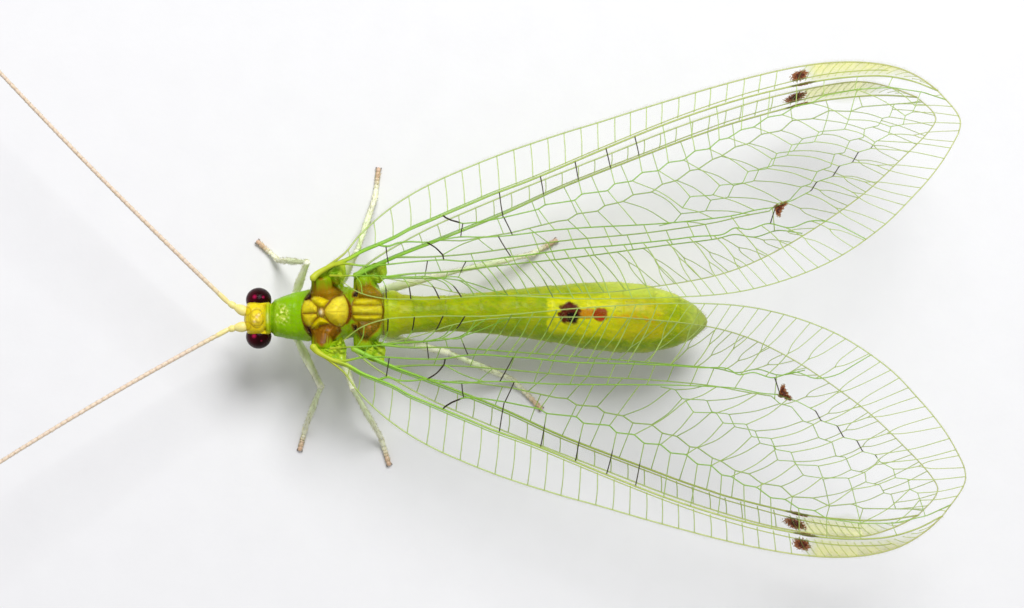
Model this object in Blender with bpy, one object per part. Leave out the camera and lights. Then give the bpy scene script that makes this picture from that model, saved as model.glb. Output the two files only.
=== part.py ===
"""Green lacewing, life size, standing on a flat base with its four wings half open.

Lengths below are millimetres; finish() turns each piece into metres. X runs from the head
to the wing tips, Y to the insect's right and Z up. The origin is the middle of the base's
underside. Heights of the insect are given above the top of the base.
"""

import math

import bmesh
import bpy
from mathutils import Matrix, Vector

MM = 0.001
GAP = 0.2                    # what separates two pieces that touch on the real insect

# The base
BASE_LENGTH = 34.0
BASE_WIDTH = 22.0
BASE_THICKNESS = 1.2
BASE_CORNER = 2.5
BASE_EDGE = 0.3

# The body, from the neck to the tail
THORAX_Y = -0.28             # the body's middle line lies a little to the left of X
HEAD_AT = Vector((-7.80, -0.47, 2.50))
HEAD_HALF = Vector((0.42, 0.46, 0.74))
EYE_RADIUS = 0.40
EYE_OUT = 0.56               # from the head's middle to an eye's centre
BODY_SIDES = 20

# The wings
WIDEST = 3.6                 # from the line between root and tip to the farther long edge
MEMBRANE = 0.50              # thickness between the veins
VEIN_RISE = 0.06             # how far a vein stands up from the membrane, on each face
VEIN_HALF = 0.10             # half the width of a vein's ridge
CAMBER = 0.22                # how far a wing bows up between its two long edges

# The legs and the antennae
LEG_RADIUS = 0.25
FOOT_LEVEL = GAP             # the flats under the feet, above the base
ANTENNA_LENGTH = 22.0
ANTENNA_RADIUS = 0.25
ANTENNA_TIP_RADIUS = 0.12

LEMON = (0.72, 0.62, 0.05)
OCHRE = (0.50, 0.33, 0.05)
COLOURS = {
    "stand": ((0.90, 0.90, 0.89), 0.5),
    "head": (LEMON, 0.35),
    "eye": ((0.06, 0.01, 0.02), 0.1),
    "antenna": ((0.72, 0.60, 0.42), 0.5),
    "prothorax": ((0.30, 0.62, 0.03), 0.35),
    "thorax": (OCHRE, 0.35),
    "abdomen": ((0.50, 0.62, 0.03), 0.35),
    "wing": ((0.66, 0.82, 0.45), 0.3),
    "leg": ((0.62, 0.68, 0.36), 0.45),
}


def material(name):
    """A plain finish of its own colour and roughness, made once."""
    found = bpy.data.materials.get(name)
    if found:
        return found
    colour, roughness = COLOURS[name]
    made = bpy.data.materials.new(name)
    made.use_nodes = True
    shader = made.node_tree.nodes["Principled BSDF"]
    shader.inputs["Base Color"].default_value = (*colour, 1.0)
    shader.inputs["Roughness"].default_value = roughness
    shader.inputs["Metallic"].default_value = 0.0
    made.diffuse_color = (*colour, 1.0)
    return made


def clear_scene():
    for thing in list(bpy.data.objects):
        bpy.data.objects.remove(thing)


def collection(name, hidden=False):
    made = bpy.data.collections.new(name)
    bpy.context.scene.collection.children.link(made)
    made.hide_render = hidden
    return made


def finish(bm, name, finish_name, group, smooth=True):
    """Turns a bmesh in millimetres into a named object in metres, standing on the base."""
    lift = 0.0 if name.startswith("stand_") else BASE_THICKNESS
    bmesh.ops.translate(bm, verts=bm.verts, vec=(0, 0, lift))
    bmesh.ops.scale(bm, verts=bm.verts, vec=(MM, MM, MM))
    bmesh.ops.recalc_face_normals(bm, faces=bm.faces)
    mesh = bpy.data.meshes.new(name)
    bm.to_mesh(mesh)
    bm.free()
    if smooth:
        mesh.shade_smooth()
        mesh.set_sharp_from_angle(angle=math.radians(40))
    made = bpy.data.objects.new(name, mesh)
    made.data.materials.append(material(finish_name))
    group.objects.link(made)
    return made


def join(pieces, name, finish_name, group):
    """Fuses closed bmeshes into one body with a Boolean union, and keeps its largest surface."""
    parts = collection("parts_of_" + name)
    for number, bm in enumerate(pieces[1:]):
        mesh = bpy.data.meshes.new(f"{name}_part_{number}")
        bm.to_mesh(mesh)
        bm.free()
        parts.objects.link(bpy.data.objects.new(mesh.name, mesh))
    mesh = bpy.data.meshes.new(name + "_whole")
    pieces[0].to_mesh(mesh)
    pieces[0].free()
    whole = bpy.data.objects.new(mesh.name, mesh)
    group.objects.link(whole)
    union = whole.modifiers.new("union", "BOOLEAN")
    union.operation = "UNION"
    union.operand_type = "COLLECTION"
    union.collection = parts
    union.solver = "MANIFOLD"
    graph = bpy.context.evaluated_depsgraph_get()
    fused = bpy.data.meshes.new_from_object(whole.evaluated_get(graph))
    for part in list(parts.objects):
        bpy.data.objects.remove(part)
    bpy.data.collections.remove(parts)
    bpy.data.objects.remove(whole)
    bm = bmesh.new()
    bm.from_mesh(fused)
    bpy.data.meshes.remove(fused)
    keep_largest(bm)
    return finish(bm, name, finish_name, group)


def keep_largest(bm):
    """Deletes every connected surface of the bmesh except the one that holds most space."""
    left = set(bm.faces)
    shells = []
    while left:
        shell = {left.pop()}
        edge_of = list(shell)
        while edge_of:
            face = edge_of.pop()
            for edge in face.edges:
                for other in edge.link_faces:
                    if other in left:
                        left.remove(other)
                        shell.add(other)
                        edge_of.append(other)
        shells.append(shell)

    def volume(shell):
        return sum(f.calc_center_median().dot(f.normal) * f.calc_area() for f in shell)

    shells.sort(key=volume)
    loose = [face for shell in shells[:-1] for face in shell]
    bmesh.ops.delete(bm, geom=loose, context="FACES")


def smooth_line(points, per_span=12):
    """Points close together on a smooth curve through the given ones."""
    ends = [points[0] * 2 - points[1], *points, points[-1] * 2 - points[-2]]
    line = []
    for a, b, c, d in zip(ends, ends[1:], ends[2:], ends[3:]):
        for step in range(per_span):
            t = step / per_span
            line.append(
                ((b * 2) + (c - a) * t
                 + (a * 2 - b * 5 + c * 4 - d) * t ** 2
                 + (b * 3 - a - c * 3 + d) * t ** 3) / 2
            )
    line.append(points[-1].copy())
    return line


def lofted(rings, sides=BODY_SIDES):
    """A closed body along X through rings of (x, y, z, half width, height above, below)."""
    bm = bmesh.new()
    turn = Matrix.Rotation(math.radians(90), 4, "Y") @ Matrix.Rotation(math.radians(90), 4, "Z")
    bmesh.ops.create_circle(bm, cap_ends=True, radius=1.0, segments=sides, matrix=turn)
    old = (0.0, 0.0, 0.0, 1.0, 1.0, 1.0)
    verts = bm.verts[:]
    edges = bm.edges[:]
    for number, ring in enumerate(rings):
        if number:
            grown = bmesh.ops.extrude_edge_only(bm, edges=edges)["geom"]
            verts = [g for g in grown if isinstance(g, bmesh.types.BMVert)]
            edges = [e for e in grown if isinstance(e, bmesh.types.BMEdge)
                     and e.verts[0] in verts and e.verts[1] in verts]
        for vert in verts:
            away = vert.co - Vector(old[:3])
            away.y *= ring[3] / old[3]
            away.z *= ring[4] / old[4] if away.z >= 0 else ring[5] / old[5]
            vert.co = Vector(ring[:3]) + away
        old = ring
    bmesh.ops.edgeloop_fill(bm, edges=edges)
    bmesh.ops.recalc_face_normals(bm, faces=bm.faces)
    return bm


def closer_rings(rings):
    """The same rings with one more between each two, on smooth curves."""
    return [tuple(ring) for ring in smooth_line([Vector(ring) for ring in rings], per_span=2)]


def swell(bm, at, reach, rise):
    """Raises a smooth bump of that height on the upper side, round the point at. A negative
    rise presses a dent."""
    for vert in bm.verts:
        away = Vector(((vert.co.x - at[0]) / reach[0], (vert.co.y - at[1]) / reach[1]))
        if away.length < 1 and vert.co.z > at[2]:
            vert.co.z += rise * math.cos(away.length * math.pi / 2) ** 2


def tube(points, radii, resolution=2):
    """A closed round tube through points, with a radius for each, as a bmesh."""
    curve = bpy.data.curves.new("tube", "CURVE")
    curve.dimensions = "3D"
    curve.bevel_depth = 1.0
    curve.bevel_resolution = resolution
    curve.use_fill_caps = True
    spline = curve.splines.new("POLY")
    spline.points.add(len(points) - 1)
    for point, place, radius in zip(spline.points, points, radii):
        point.co = (*place, 1.0)
        point.radius = radius
    holder = bpy.data.objects.new("tube", curve)
    bpy.context.scene.collection.objects.link(holder)
    graph = bpy.context.evaluated_depsgraph_get()
    mesh = bpy.data.meshes.new_from_object(holder.evaluated_get(graph))
    bm = bmesh.new()
    bm.from_mesh(mesh)
    bpy.data.meshes.remove(mesh)
    bpy.data.objects.remove(holder)
    bmesh.ops.remove_doubles(bm, verts=bm.verts, dist=1e-5)
    bmesh.ops.recalc_face_normals(bm, faces=bm.faces)
    return bm


def cut(bm, point, normal):
    """Takes away what lies beyond a plane, and closes the cut with a flat face."""
    sliced = bmesh.ops.bisect_plane(
        bm, geom=bm.verts[:] + bm.edges[:] + bm.faces[:], dist=1e-5,
        plane_co=point, plane_no=normal, clear_outer=True,
    )
    rim = [g for g in sliced["geom_cut"] if isinstance(g, bmesh.types.BMEdge)]
    bmesh.ops.edgeloop_fill(bm, edges=rim)


# The wing veins.

class Vein:
    """A long vein: a smooth line from the root outwards, and the joints on it."""

    def __init__(self, points):
        self.line = smooth_line([Vector(p) for p in points])
        self.run = [0.0]
        for a, b in zip(self.line, self.line[1:]):
            self.run.append(self.run[-1] + (b - a).length)
        self.joints = {0.0: self.line[0], 1.0: self.line[-1]}

    def place(self, share):
        """The point at this share of the vein's length, and the direction there."""
        goal = share * self.run[-1]
        index = min(max(1, sum(r < goal for r in self.run)), len(self.run) - 1)
        a, b = self.line[index - 1], self.line[index]
        part = (goal - self.run[index - 1]) / (self.run[index] - self.run[index - 1])
        return a.lerp(b, part), (b - a).normalized()

    def share_at(self, x):
        """The share of the vein's length at which it passes this distance from the root."""
        for index in range(1, len(self.line)):
            a, b = self.line[index - 1], self.line[index]
            if (a.x - x) * (b.x - x) <= 0 and a.x != b.x:
                part = (x - a.x) / (b.x - a.x)
                return (self.run[index - 1] + part * (self.run[index] - self.run[index - 1])) / self.run[-1]
        return 1.0

    def joint(self, x=None, share=None, shift=0.0):
        """Adds a joint at x, or at a share of the length, pushed sideways by shift."""
        if share is None:
            share = self.share_at(x)
        point, along = self.place(share)
        point = point + Vector((-along.y, along.x)) * shift
        self.joints[share] = point
        return point

    def path(self, longest=1.6):
        """The joints in order, with a point between two that lie far apart."""
        shares = sorted(self.joints)
        path = [self.joints[shares[0]]]
        for a, b in zip(shares, shares[1:]):
            pieces = math.ceil((b - a) * self.run[-1] / longest)
            path += [self.place(a + (b - a) * k / pieces)[0] for k in range(1, pieces)]
            path.append(self.joints[b])
        return path


def spread(start, end, count):
    return [start + (end - start) * k / (count - 1) for k in range(count)]


# Every vein of a wing as points of (distance from the root, distance in front of the
# line from root to tip). The front edge and the rear edge meet where the radius ends.
FORE_VEINS = {
    "front": [(-0.35, -0.12), (0.15, 0.28), (0.9, 0.66), (1.6, 1.25), (2.7, 1.95), (4.3, 2.42),
              (6.0, 2.76), (8.1, 3.03), (11.0, 3.26), (14.0, 3.42), (16.4, 3.43), (17.7, 3.12),
              (18.8, 2.45), (19.54, 1.47)],
    "rear": [(0.50, -0.50), (1.5, -0.85), (2.6, -1.50), (4.9, -2.06), (7.5, -2.78), (10.2, -3.42),
             (12.7, -3.73), (15.0, -3.48), (16.9, -2.78), (18.5, -1.65), (19.5, -0.70),
             (20.0, 0.15), (19.85, 0.90), (19.54, 1.47)],
    "radius": [(-0.35, -0.12), (0.72, 0.26), (1.9, 0.58), (3.86, 1.0), (6.8, 1.6), (9.0, 2.07),
               (11.0, 2.46), (12.8, 2.70), (14.4, 2.80), (16.1, 2.77), (17.6, 2.48), (18.6, 2.06),
               (19.54, 1.47)],
    "sector": [(3.86, 1.0), (4.5, 0.62), (5.7, 0.48), (8.0, 0.56), (10.0, 0.79), (11.6, 1.12),
               (13.3, 1.54), (15.0, 1.92), (16.7, 2.05), (17.9, 1.80), (19.0, 1.20), (19.9, 0.62)],
    "media": [(1.9, 0.58), (2.6, 0.42), (3.3, 0.28), (5.2, -0.07), (6.7, -0.38), (8.7, -0.68),
              (11.1, -1.03), (13.0, -1.24), (14.3, -1.24), (15.1, -1.02), (16.4, -0.37),
              (17.6, 0.25), (18.4, 0.75), (19.0, 1.20)],
    "gradate": [(11.1, -1.03), (11.15, -0.62), (11.5, -0.32), (12.3, -0.25), (13.2, -0.05),
                (14.6, 0.50), (15.5, 0.80), (16.5, 1.05), (17.3, 1.45), (17.9, 1.80)],
    "cubitus": [(0.50, -0.50), (1.3, -0.38), (2.2, -0.26), (3.6, -0.46), (4.7, -0.86), (6.4, -1.03),
                (9.6, -1.43), (11.3, -1.66), (12.6, -1.66), (13.7, -1.78), (14.6, -2.35),
                (15.3, -3.43)],
}
HIND_VEINS = {
    "front": [(-0.35, -0.12), (0.3, 0.24), (1.2, 0.56), (2.4, 0.90), (4.0, 1.20), (6.0, 1.52),
              (8.1, 1.82), (10.0, 2.10), (11.8, 2.27), (13.4, 2.33), (15.0, 2.22), (16.1, 1.98),
              (17.0, 1.47), (17.6, 0.95)],
    "rear": [(0.50, -0.45), (1.6, -1.0), (2.7, -1.62), (4.2, -2.14), (6.2, -2.62), (8.0, -2.98),
             (10.6, -3.24), (12.8, -2.86), (15.2, -1.90), (16.8, -0.98), (17.8, -0.25),
             (18.0, 0.2), (17.6, 0.95)],
    "radius": [(-0.35, -0.12), (1.0, 0.14), (2.4, 0.32), (4.5, 0.66), (6.6, 1.10), (9.0, 1.50),
               (10.9, 1.78), (12.5, 1.92), (14.0, 1.93), (15.4, 1.72), (16.6, 1.34), (17.6, 0.95)],
    "sector": [(2.4, 0.32), (3.1, 0.10), (4.6, -0.02), (6.5, 0.0), (9.2, 0.24), (11.3, 0.76),
               (13.4, 1.14), (15.0, 1.10), (16.4, 0.80), (17.9, 0.40)],
    "media": [(1.0, 0.14), (1.9, -0.12), (3.0, -0.34), (4.4, -0.56), (6.4, -0.85), (8.8, -1.25),
              (11.3, -1.56), (12.8, -1.42), (14.4, -0.72), (15.6, 0.10), (16.4, 0.80)],
    "gradate": [(9.3, -1.34), (9.5, -0.92), (10.0, -0.62), (11.2, -0.34), (12.6, 0.05),
                (13.8, 0.50), (15.0, 1.10)],
    "cubitus": [(0.50, -0.45), (1.4, -0.56), (2.6, -0.84), (4.2, -1.10), (6.6, -1.46), (9.0, -1.82),
                (11.0, -2.12), (12.2, -2.55), (12.9, -2.83)],
}
# How many crossveins each field of a wing has, and where the first and the last one stand.
FORE_FIELDS = {
    "costal": (20, 1.9, 15.9),
    "radial": (12, 5.5, 17.4),
    "branches": (11, 5.3, 16.2),
    "steps": (7, 14.9, 18.2),
    "medial": (8, 3.4, 13.7),
    "rear": (23, 0.13, 0.91),
    "rear_leave": (2.2, 13.0, 14.5, 18.9),
    "sector_lag": 0.20,
    "step": 0.10,
}
HIND_FIELDS = {
    "costal": (13, 3.9, 14.2),
    "radial": (10, 4.9, 15.4),
    "branches": (9, 4.6, 14.0),
    "steps": (5, 12.9, 15.8),
    "medial": (7, 2.9, 11.0),
    "rear": (18, 0.13, 0.91),
    "rear_leave": (2.4, 11.2, 12.0, 16.3),
    "sector_lag": 0.20,
    "step": 0.08,
}


def wing_net(points, fields):
    """The long veins with their joints, and the crossveins as pairs of points."""
    veins = {name: Vein(line) for name, line in points.items()}
    front, rear, radius, sector, media, gradate, cubitus = (
        veins[n] for n in ("front", "rear", "radius", "sector", "media", "gradate", "cubitus")
    )
    step = fields["step"]
    crossings = []
    for x in spread(fields["costal"][1], fields["costal"][2], fields["costal"][0]):
        crossings.append((radius.joint(x), front.joint(x - 0.05)))
    for x in spread(fields["radial"][1], fields["radial"][2], fields["radial"][0]):
        crossings.append((radius.joint(x - 0.25), sector.joint(x, shift=step)))

    # Branches leave the sector just before each radial crossvein comes in, and run back
    # to the media, or from where the inner gradates start, to those.
    count, first, last = fields["branches"]
    split = points["gradate"][0][0]
    gradate_end = points["gradate"][-1][0]
    inner = []
    for number, x in enumerate(spread(first, last, count)):
        leave = sector.joint(x - fields["sector_lag"], shift=-step)
        reach = x + 0.75 + 0.35 * number / count
        if reach < split - 0.4:
            crossings.append((leave, media.joint(reach, shift=step / 2)))
        elif reach + 0.3 < gradate_end:
            reach = max(reach, split + 0.25)
            crossings.append((leave, gradate.joint(reach, shift=step)))
            inner.append(reach)
    outer = spread(fields["steps"][1], fields["steps"][2], fields["steps"][0])
    for reach, x in zip(inner, outer[-len(inner):] if len(inner) <= len(outer) else outer):
        crossings.append((gradate.joint(reach + 0.45, shift=-step), media.joint(x, shift=step)))

    count, first, last = fields["medial"]
    for x in spread(first, last, count):
        crossings.append((media.joint(x - 0.1), cubitus.joint(x + 0.15)))

    # Marginal veins leave the cubitus, and past its end the media, and run to the rear edge.
    count, first, last = fields["rear"]
    ends = spread(first, last, count)
    cubitus_end = rear.share_at(points["cubitus"][-1][0])
    near = [share for share in ends if share < cubitus_end - 0.015]
    far = [share for share in ends if share > cubitus_end + 0.015]
    start, stop, far_start, far_stop = fields["rear_leave"]
    for share, x in zip(near, spread(start, stop, len(near))):
        crossings.append((cubitus.joint(x, shift=-step / 2), rear.joint(share=share)))
    for share, x in zip(far, spread(far_start, far_stop, len(far))):
        crossings.append((media.joint(x, shift=-step), rear.joint(share=share)))
    return veins, crossings


def split_face(bm, path):
    """Cuts the face that both ends of the path lie on, along the path."""
    def vert_at(place):
        return min(bm.verts, key=lambda v: (v.co.xy - place).length_squared)

    first, last = vert_at(path[0]), vert_at(path[-1])
    shared = [f for f in first.link_faces if f in last.link_faces]
    if first is last or not shared:
        raise ValueError(f"no face holds both ends of the vein from {path[0]} to {path[-1]}")
    face = min(shared, key=lambda f: f.calc_area())
    bmesh.utils.face_split(face, first, last, coords=[p.to_3d() for p in path[1:-1]])


def wing_plate(points, fields):
    """A flat wing about Z = 0: one face cut along its veins, its cells sunk, and thickened."""
    veins, crossings = wing_net(points, fields)
    bm = bmesh.new()
    edge = veins["front"].path() + veins["rear"].path()[-2::-1]
    bm.faces.new([bm.verts.new(p.to_3d()) for p in edge])
    for name in ("radius", "sector", "media", "gradate", "cubitus"):
        split_face(bm, veins[name].path())
    for a, b in crossings:
        split_face(bm, [a, b])
    bmesh.ops.recalc_face_normals(bm, faces=bm.faces)
    if bm.faces[:][0].normal.z < 0:
        bmesh.ops.reverse_faces(bm, faces=bm.faces)

    ridge = set(bm.verts)
    bmesh.ops.inset_individual(bm, faces=bm.faces[:], thickness=VEIN_HALF, use_even_offset=True)
    for vert in bm.verts:
        vert.co.z = MEMBRANE / 2 + (VEIN_RISE if vert in ridge else 0.0)
    bmesh.ops.triangulate(bm, faces=bm.faces)
    under = bm.verts[:]
    bmesh.ops.extrude_face_region(bm, geom=bm.faces[:] + bm.edges[:] + bm.verts[:])
    for vert in under:
        vert.co.z = -vert.co.z
    return bm


def place_wing(bm, side, root, tip, roof):
    """Bows a flat wing, tilts it like a roof on that side (1 right, -1 left), and lays it
    from root to tip."""
    for vert in bm.verts:
        across = vert.co.y / WIDEST
        outward = max(0.0, min(1.0, vert.co.x / WIDEST))
        vert.co.z -= CAMBER * across ** 2 * outward
        vert.co.y *= side
    along = Vector(tip) - Vector(root)
    sweep = math.atan2(along.y, along.x)
    rise = math.atan2(along.z, along.xy.length)
    pose = (
        Matrix.Translation(root)
        @ Matrix.Rotation(sweep, 4, "Z")
        @ Matrix.Rotation(-rise, 4, "Y")
        @ Matrix.Rotation(math.radians(-roof) * side, 4, "X")
    )
    bmesh.ops.transform(bm, verts=bm.verts, matrix=pose)
    bmesh.ops.recalc_face_normals(bm, faces=bm.faces)


# Each wing: its veins and fields, its side, its root and tip, and its roof tilt in degrees.
WINGS = {
    "wing_fore_right": (FORE_VEINS, FORE_FIELDS, 1, (-5.72, 1.00, 3.75), (13.51, 5.32, 6.40), 30.0),
    "wing_fore_left": (FORE_VEINS, FORE_FIELDS, -1, (-5.72, -1.52, 3.75), (13.60, -5.05, 6.40), 10.0),
    "wing_hind_right": (HIND_VEINS, HIND_FIELDS, 1, (-4.50, 1.06, 2.95), (12.66, 5.53, 4.95), 30.0),
    "wing_hind_left": (HIND_VEINS, HIND_FIELDS, -1, (-4.56, -1.56, 2.95), (12.78, -5.55, 4.95), 10.0),
}


def make_wings(group):
    for name, (points, fields, side, root, tip, roof) in WINGS.items():
        bm = wing_plate(points, fields)
        place_wing(bm, side, root, tip, roof)
        finish(bm, name, "wing", group, smooth=False)


# The body.

def make_head(group):
    at, half = HEAD_AT, HEAD_HALF
    capsule = bmesh.new()
    bmesh.ops.create_uvsphere(
        capsule, u_segments=18, v_segments=12, radius=1.0,
        matrix=Matrix.Translation(at) @ Matrix.Diagonal((*half, 1.0)),
    )
    chin = at.z - half.z
    for vert in capsule.verts:
        down = max(0.0, (at.z - vert.co.z) / half.z)
        vert.co.y = at.y + (vert.co.y - at.y) * (1 - 0.28 * down)
        vert.co.x -= 0.10 * down
    side = EYE_OUT - GAP
    cut(capsule, at + Vector((0, side, 0)), (0, 1, 0))
    cut(capsule, at - Vector((0, side, 0)), (0, -1, 0))

    # The mouth: a lip in front, and two jaws that meet behind it along the middle line.
    def lobe(place, size):
        bm = bmesh.new()
        matrix = Matrix.Translation(place) @ Matrix.Diagonal((*size, 1.0))
        bmesh.ops.create_uvsphere(bm, u_segments=12, v_segments=8, radius=1.0, matrix=matrix)
        return bm

    pieces = [capsule]
    pieces.append(lobe((at.x - 0.26, at.y, chin + 0.16), (0.16, 0.24, 0.26)))
    pieces += [lobe((at.x - 0.08, at.y + 0.15 * turn, chin + 0.02), (0.20, 0.16, 0.24)) for turn in (1, -1)]
    for turn in (1, -1):
        palp = [
            Vector((at.x - 0.06, at.y + 0.12 * turn, chin + 0.22)),
            Vector((at.x - 0.14, at.y + 0.30 * turn, chin - 0.02)),
            Vector((at.x - 0.30, at.y + 0.36 * turn, chin - 0.22)),
            Vector((at.x - 0.46, at.y + 0.32 * turn, chin - 0.34)),
        ]
        pieces.append(tube(palp, [0.13, 0.13, 0.12, 0.09], resolution=1))
    join(pieces, "head", "head", group)

    for name, turn in (("eye_right", 1), ("eye_left", -1)):
        ball = bmesh.new()
        centre = at + Vector((0.06, EYE_OUT * turn, 0.05))
        bmesh.ops.create_uvsphere(
            ball, u_segments=16, v_segments=12, radius=EYE_RADIUS,
            matrix=Matrix.Translation(centre) @ Matrix.Rotation(math.radians(90), 4, "X"),
        )
        cut(ball, centre, (0, -turn, 0))
        finish(ball, name, "eye", group)


def make_thorax(group):
    prothorax = lofted([
        (-7.17, -0.41, 2.52, 0.34, 0.32, 0.38),
        (-7.13, -0.41, 2.52, 0.44, 0.42, 0.46),
        (-7.05, -0.40, 2.52, 0.50, 0.46, 0.50),
        (-6.95, -0.39, 2.52, 0.54, 0.48, 0.54),
        (-6.82, -0.38, 2.50, 0.66, 0.54, 0.58),
        (-6.62, -0.37, 2.50, 0.72, 0.58, 0.64),
        (-6.42, -0.36, 2.50, 0.72, 0.58, 0.66),
        (-6.36, -0.36, 2.50, 0.60, 0.50, 0.58),
    ])
    swell(prothorax, (-6.70, -0.37, 2.8), (0.12, 0.60), -0.04)
    finish(prothorax, "prothorax", "prothorax", group)

    y = THORAX_Y
    mesothorax = lofted(closer_rings([
        (-6.16, y, 2.50, 0.62, 0.62, 0.62),
        (-6.12, y, 2.50, 0.74, 0.80, 0.78),
        (-5.98, y, 2.52, 0.86, 0.96, 0.92),
        (-5.78, y, 2.54, 0.94, 1.06, 1.00),
        (-5.52, y, 2.55, 0.96, 1.08, 1.04),
        (-5.26, y, 2.54, 0.94, 1.02, 1.04),
        (-5.06, y, 2.52, 0.90, 0.94, 1.00),
        (-5.02, y, 2.52, 0.78, 0.82, 0.88),
    ]), sides=36)
    # Two lobes in front, two shoulders beside them, and the shield behind, with a dent between.
    for side in (1, -1):
        swell(mesothorax, (-6.02, y + 0.24 * side, 3.0), (0.26, 0.25), 0.14)
        swell(mesothorax, (-5.66, y + 0.56 * side, 3.0), (0.36, 0.38), 0.16)
    swell(mesothorax, (-5.74, y, 3.0), (0.14, 0.18), -0.10)
    swell(mesothorax, (-5.34, y, 3.0), (0.36, 0.50), 0.20)
    finish(mesothorax, "mesothorax", "thorax", group)

    metathorax = lofted(closer_rings([
        (-4.82, y, 2.42, 0.70, 0.76, 0.84),
        (-4.78, y, 2.42, 0.80, 0.84, 0.94),
        (-4.60, y, 2.42, 0.82, 0.86, 0.98),
        (-4.36, y, 2.40, 0.80, 0.84, 0.96),
        (-4.12, y, 2.36, 0.78, 0.76, 0.88),
        (-3.96, y, 2.30, 0.68, 0.64, 0.74),
        (-3.92, y, 2.28, 0.58, 0.54, 0.62),
    ]), sides=36)
    swell(metathorax, (-4.42, y, 2.9), (0.46, 0.36), 0.14)
    for side in (1, -1):
        swell(metathorax, (-4.50, y + 0.58 * side, 2.7), (0.34, 0.26), 0.12)
    finish(metathorax, "metathorax", "thorax", group)


# The abdomen's middle line and half widths, from the waist to the tail.
ABDOMEN = [
    (-3.72, -0.33, 2.16, 0.56), (-3.3, -0.33, 2.14, 0.60), (-2.6, -0.31, 2.12, 0.54),
    (-1.6, -0.28, 2.10, 0.57), (-0.5, -0.27, 2.06, 0.67), (0.9, -0.29, 2.00, 0.83),
    (2.3, -0.36, 1.95, 1.02), (3.2, -0.40, 1.93, 1.08), (4.1, -0.45, 1.92, 1.05),
    (5.0, -0.50, 1.92, 0.82), (5.6, -0.53, 1.94, 0.50), (5.98, -0.55, 1.96, 0.16),
]
SEGMENTS = 9
SEGMENT_STEP = 0.05


def make_abdomen(group):
    """A spindle of nine rings, each overlapping the next one with a low step."""
    line = smooth_line([Vector(p[:3]) for p in ABDOMEN], per_span=10)
    widths = smooth_line([Vector((p[3], 0.0)) for p in ABDOMEN], per_span=10)
    start, end = line[0].x, line[-1].x

    def at(x):
        index = min(range(len(line)), key=lambda k: abs(line[k].x - x))
        return line[index], widths[index].x

    rings = []
    place, width = at(start)
    rings.append((*place, width * 0.8, width * 0.8, width * 0.9))
    for number in range(SEGMENTS):
        low = start + (end - start) * number / SEGMENTS
        high = start + (end - start) * (number + 1) / SEGMENTS
        for share, fall in ((0.06, 0.0), (0.5, -0.01), (0.90, 0.0), (0.99, SEGMENT_STEP)):
            place, width = at(low + (high - low) * share)
            half = max(0.1, width - fall)
            rings.append((*place, half, half * 0.98, half * 1.02))
    finish(lofted(rings), "abdomen", "abdomen", group)


# The limbs.

# Each leg: body end, trochanter, knee, ankle and claw, on the middle line of the limb.
LEGS = {
    "leg_front_right": ((-6.75, -0.02, 1.54), (-6.70, 0.30, 0.98), (-6.30, 1.28, 2.20),
                        (-7.26, 1.36, 0.46), (-7.83, 1.87, 0.40)),
    "leg_front_left": ((-6.75, -0.72, 1.54), (-6.66, -1.05, 0.98), (-5.87, -2.54, 2.20),
                       (-6.41, -3.82, 0.46), (-6.57, -4.43, 0.40)),
    "leg_middle_right": ((-5.45, 0.14, 1.10), (-5.38, 0.50, 0.86), (-4.76, 1.62, 2.10),
                         (-4.26, 3.27, 0.46), (-4.16, 4.10, 0.40)),
    "leg_middle_left": ((-5.45, -0.70, 1.10), (-5.42, -1.06, 0.86), (-4.88, -2.62, 2.10),
                        (-4.07, -4.16, 0.46), (-3.85, -4.89, 0.40)),
    "leg_hind_right": ((-4.40, 0.06, 1.08), (-4.28, 0.36, 0.80), (-2.00, 0.95, 2.00),
                       (0.58, 1.53, 0.46), (1.28, 1.93, 0.40)),
    "leg_hind_left": ((-4.40, -0.62, 1.08), (-4.28, -0.92, 0.80), (-1.96, -1.50, 2.00),
                      (0.02, -2.35, 0.46), (0.83, -3.18, 0.40)),
}


def make_legs(group):
    for name, (body, hip, knee, ankle, claw) in LEGS.items():
        body, hip, knee, ankle, claw = map(Vector, (body, hip, knee, ankle, claw))
        r = LEG_RADIUS
        stations = [
            (body, r), (body.lerp(hip, 0.6), r * 1.05), (hip, r),
            (hip.lerp(knee, 0.35), r), (hip.lerp(knee, 0.85), r * 0.98), (knee, r * 1.04),
            (knee.lerp(ankle, 0.12), r * 0.98), (knee.lerp(ankle, 0.6), r * 0.96),
            (knee.lerp(ankle, 0.94), r * 0.96), (ankle.lerp(claw, 0.12), r * 0.9),
            (ankle.lerp(claw, 0.8), r * 0.8), (claw, r * 0.72),
        ]
        bm = tube([s[0] for s in stations], [s[1] for s in stations])
        cut(bm, (0, 0, FOOT_LEVEL), (0, 0, -1))
        finish(bm, name, "leg", group)


# Each antenna: where it leaves the head, and the heading and bend of its long whip.
ANTENNAE = {
    "antenna_right": ((-8.46, -0.14, 2.84), 135.8, -7.0),
    "antenna_left": ((-8.46, -0.80, 2.84), 208.5, 10.0),
}
ANTENNA_SLOPE = 8.0          # how steeply an antenna climbs
ANTENNA_POINTS = 26


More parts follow.
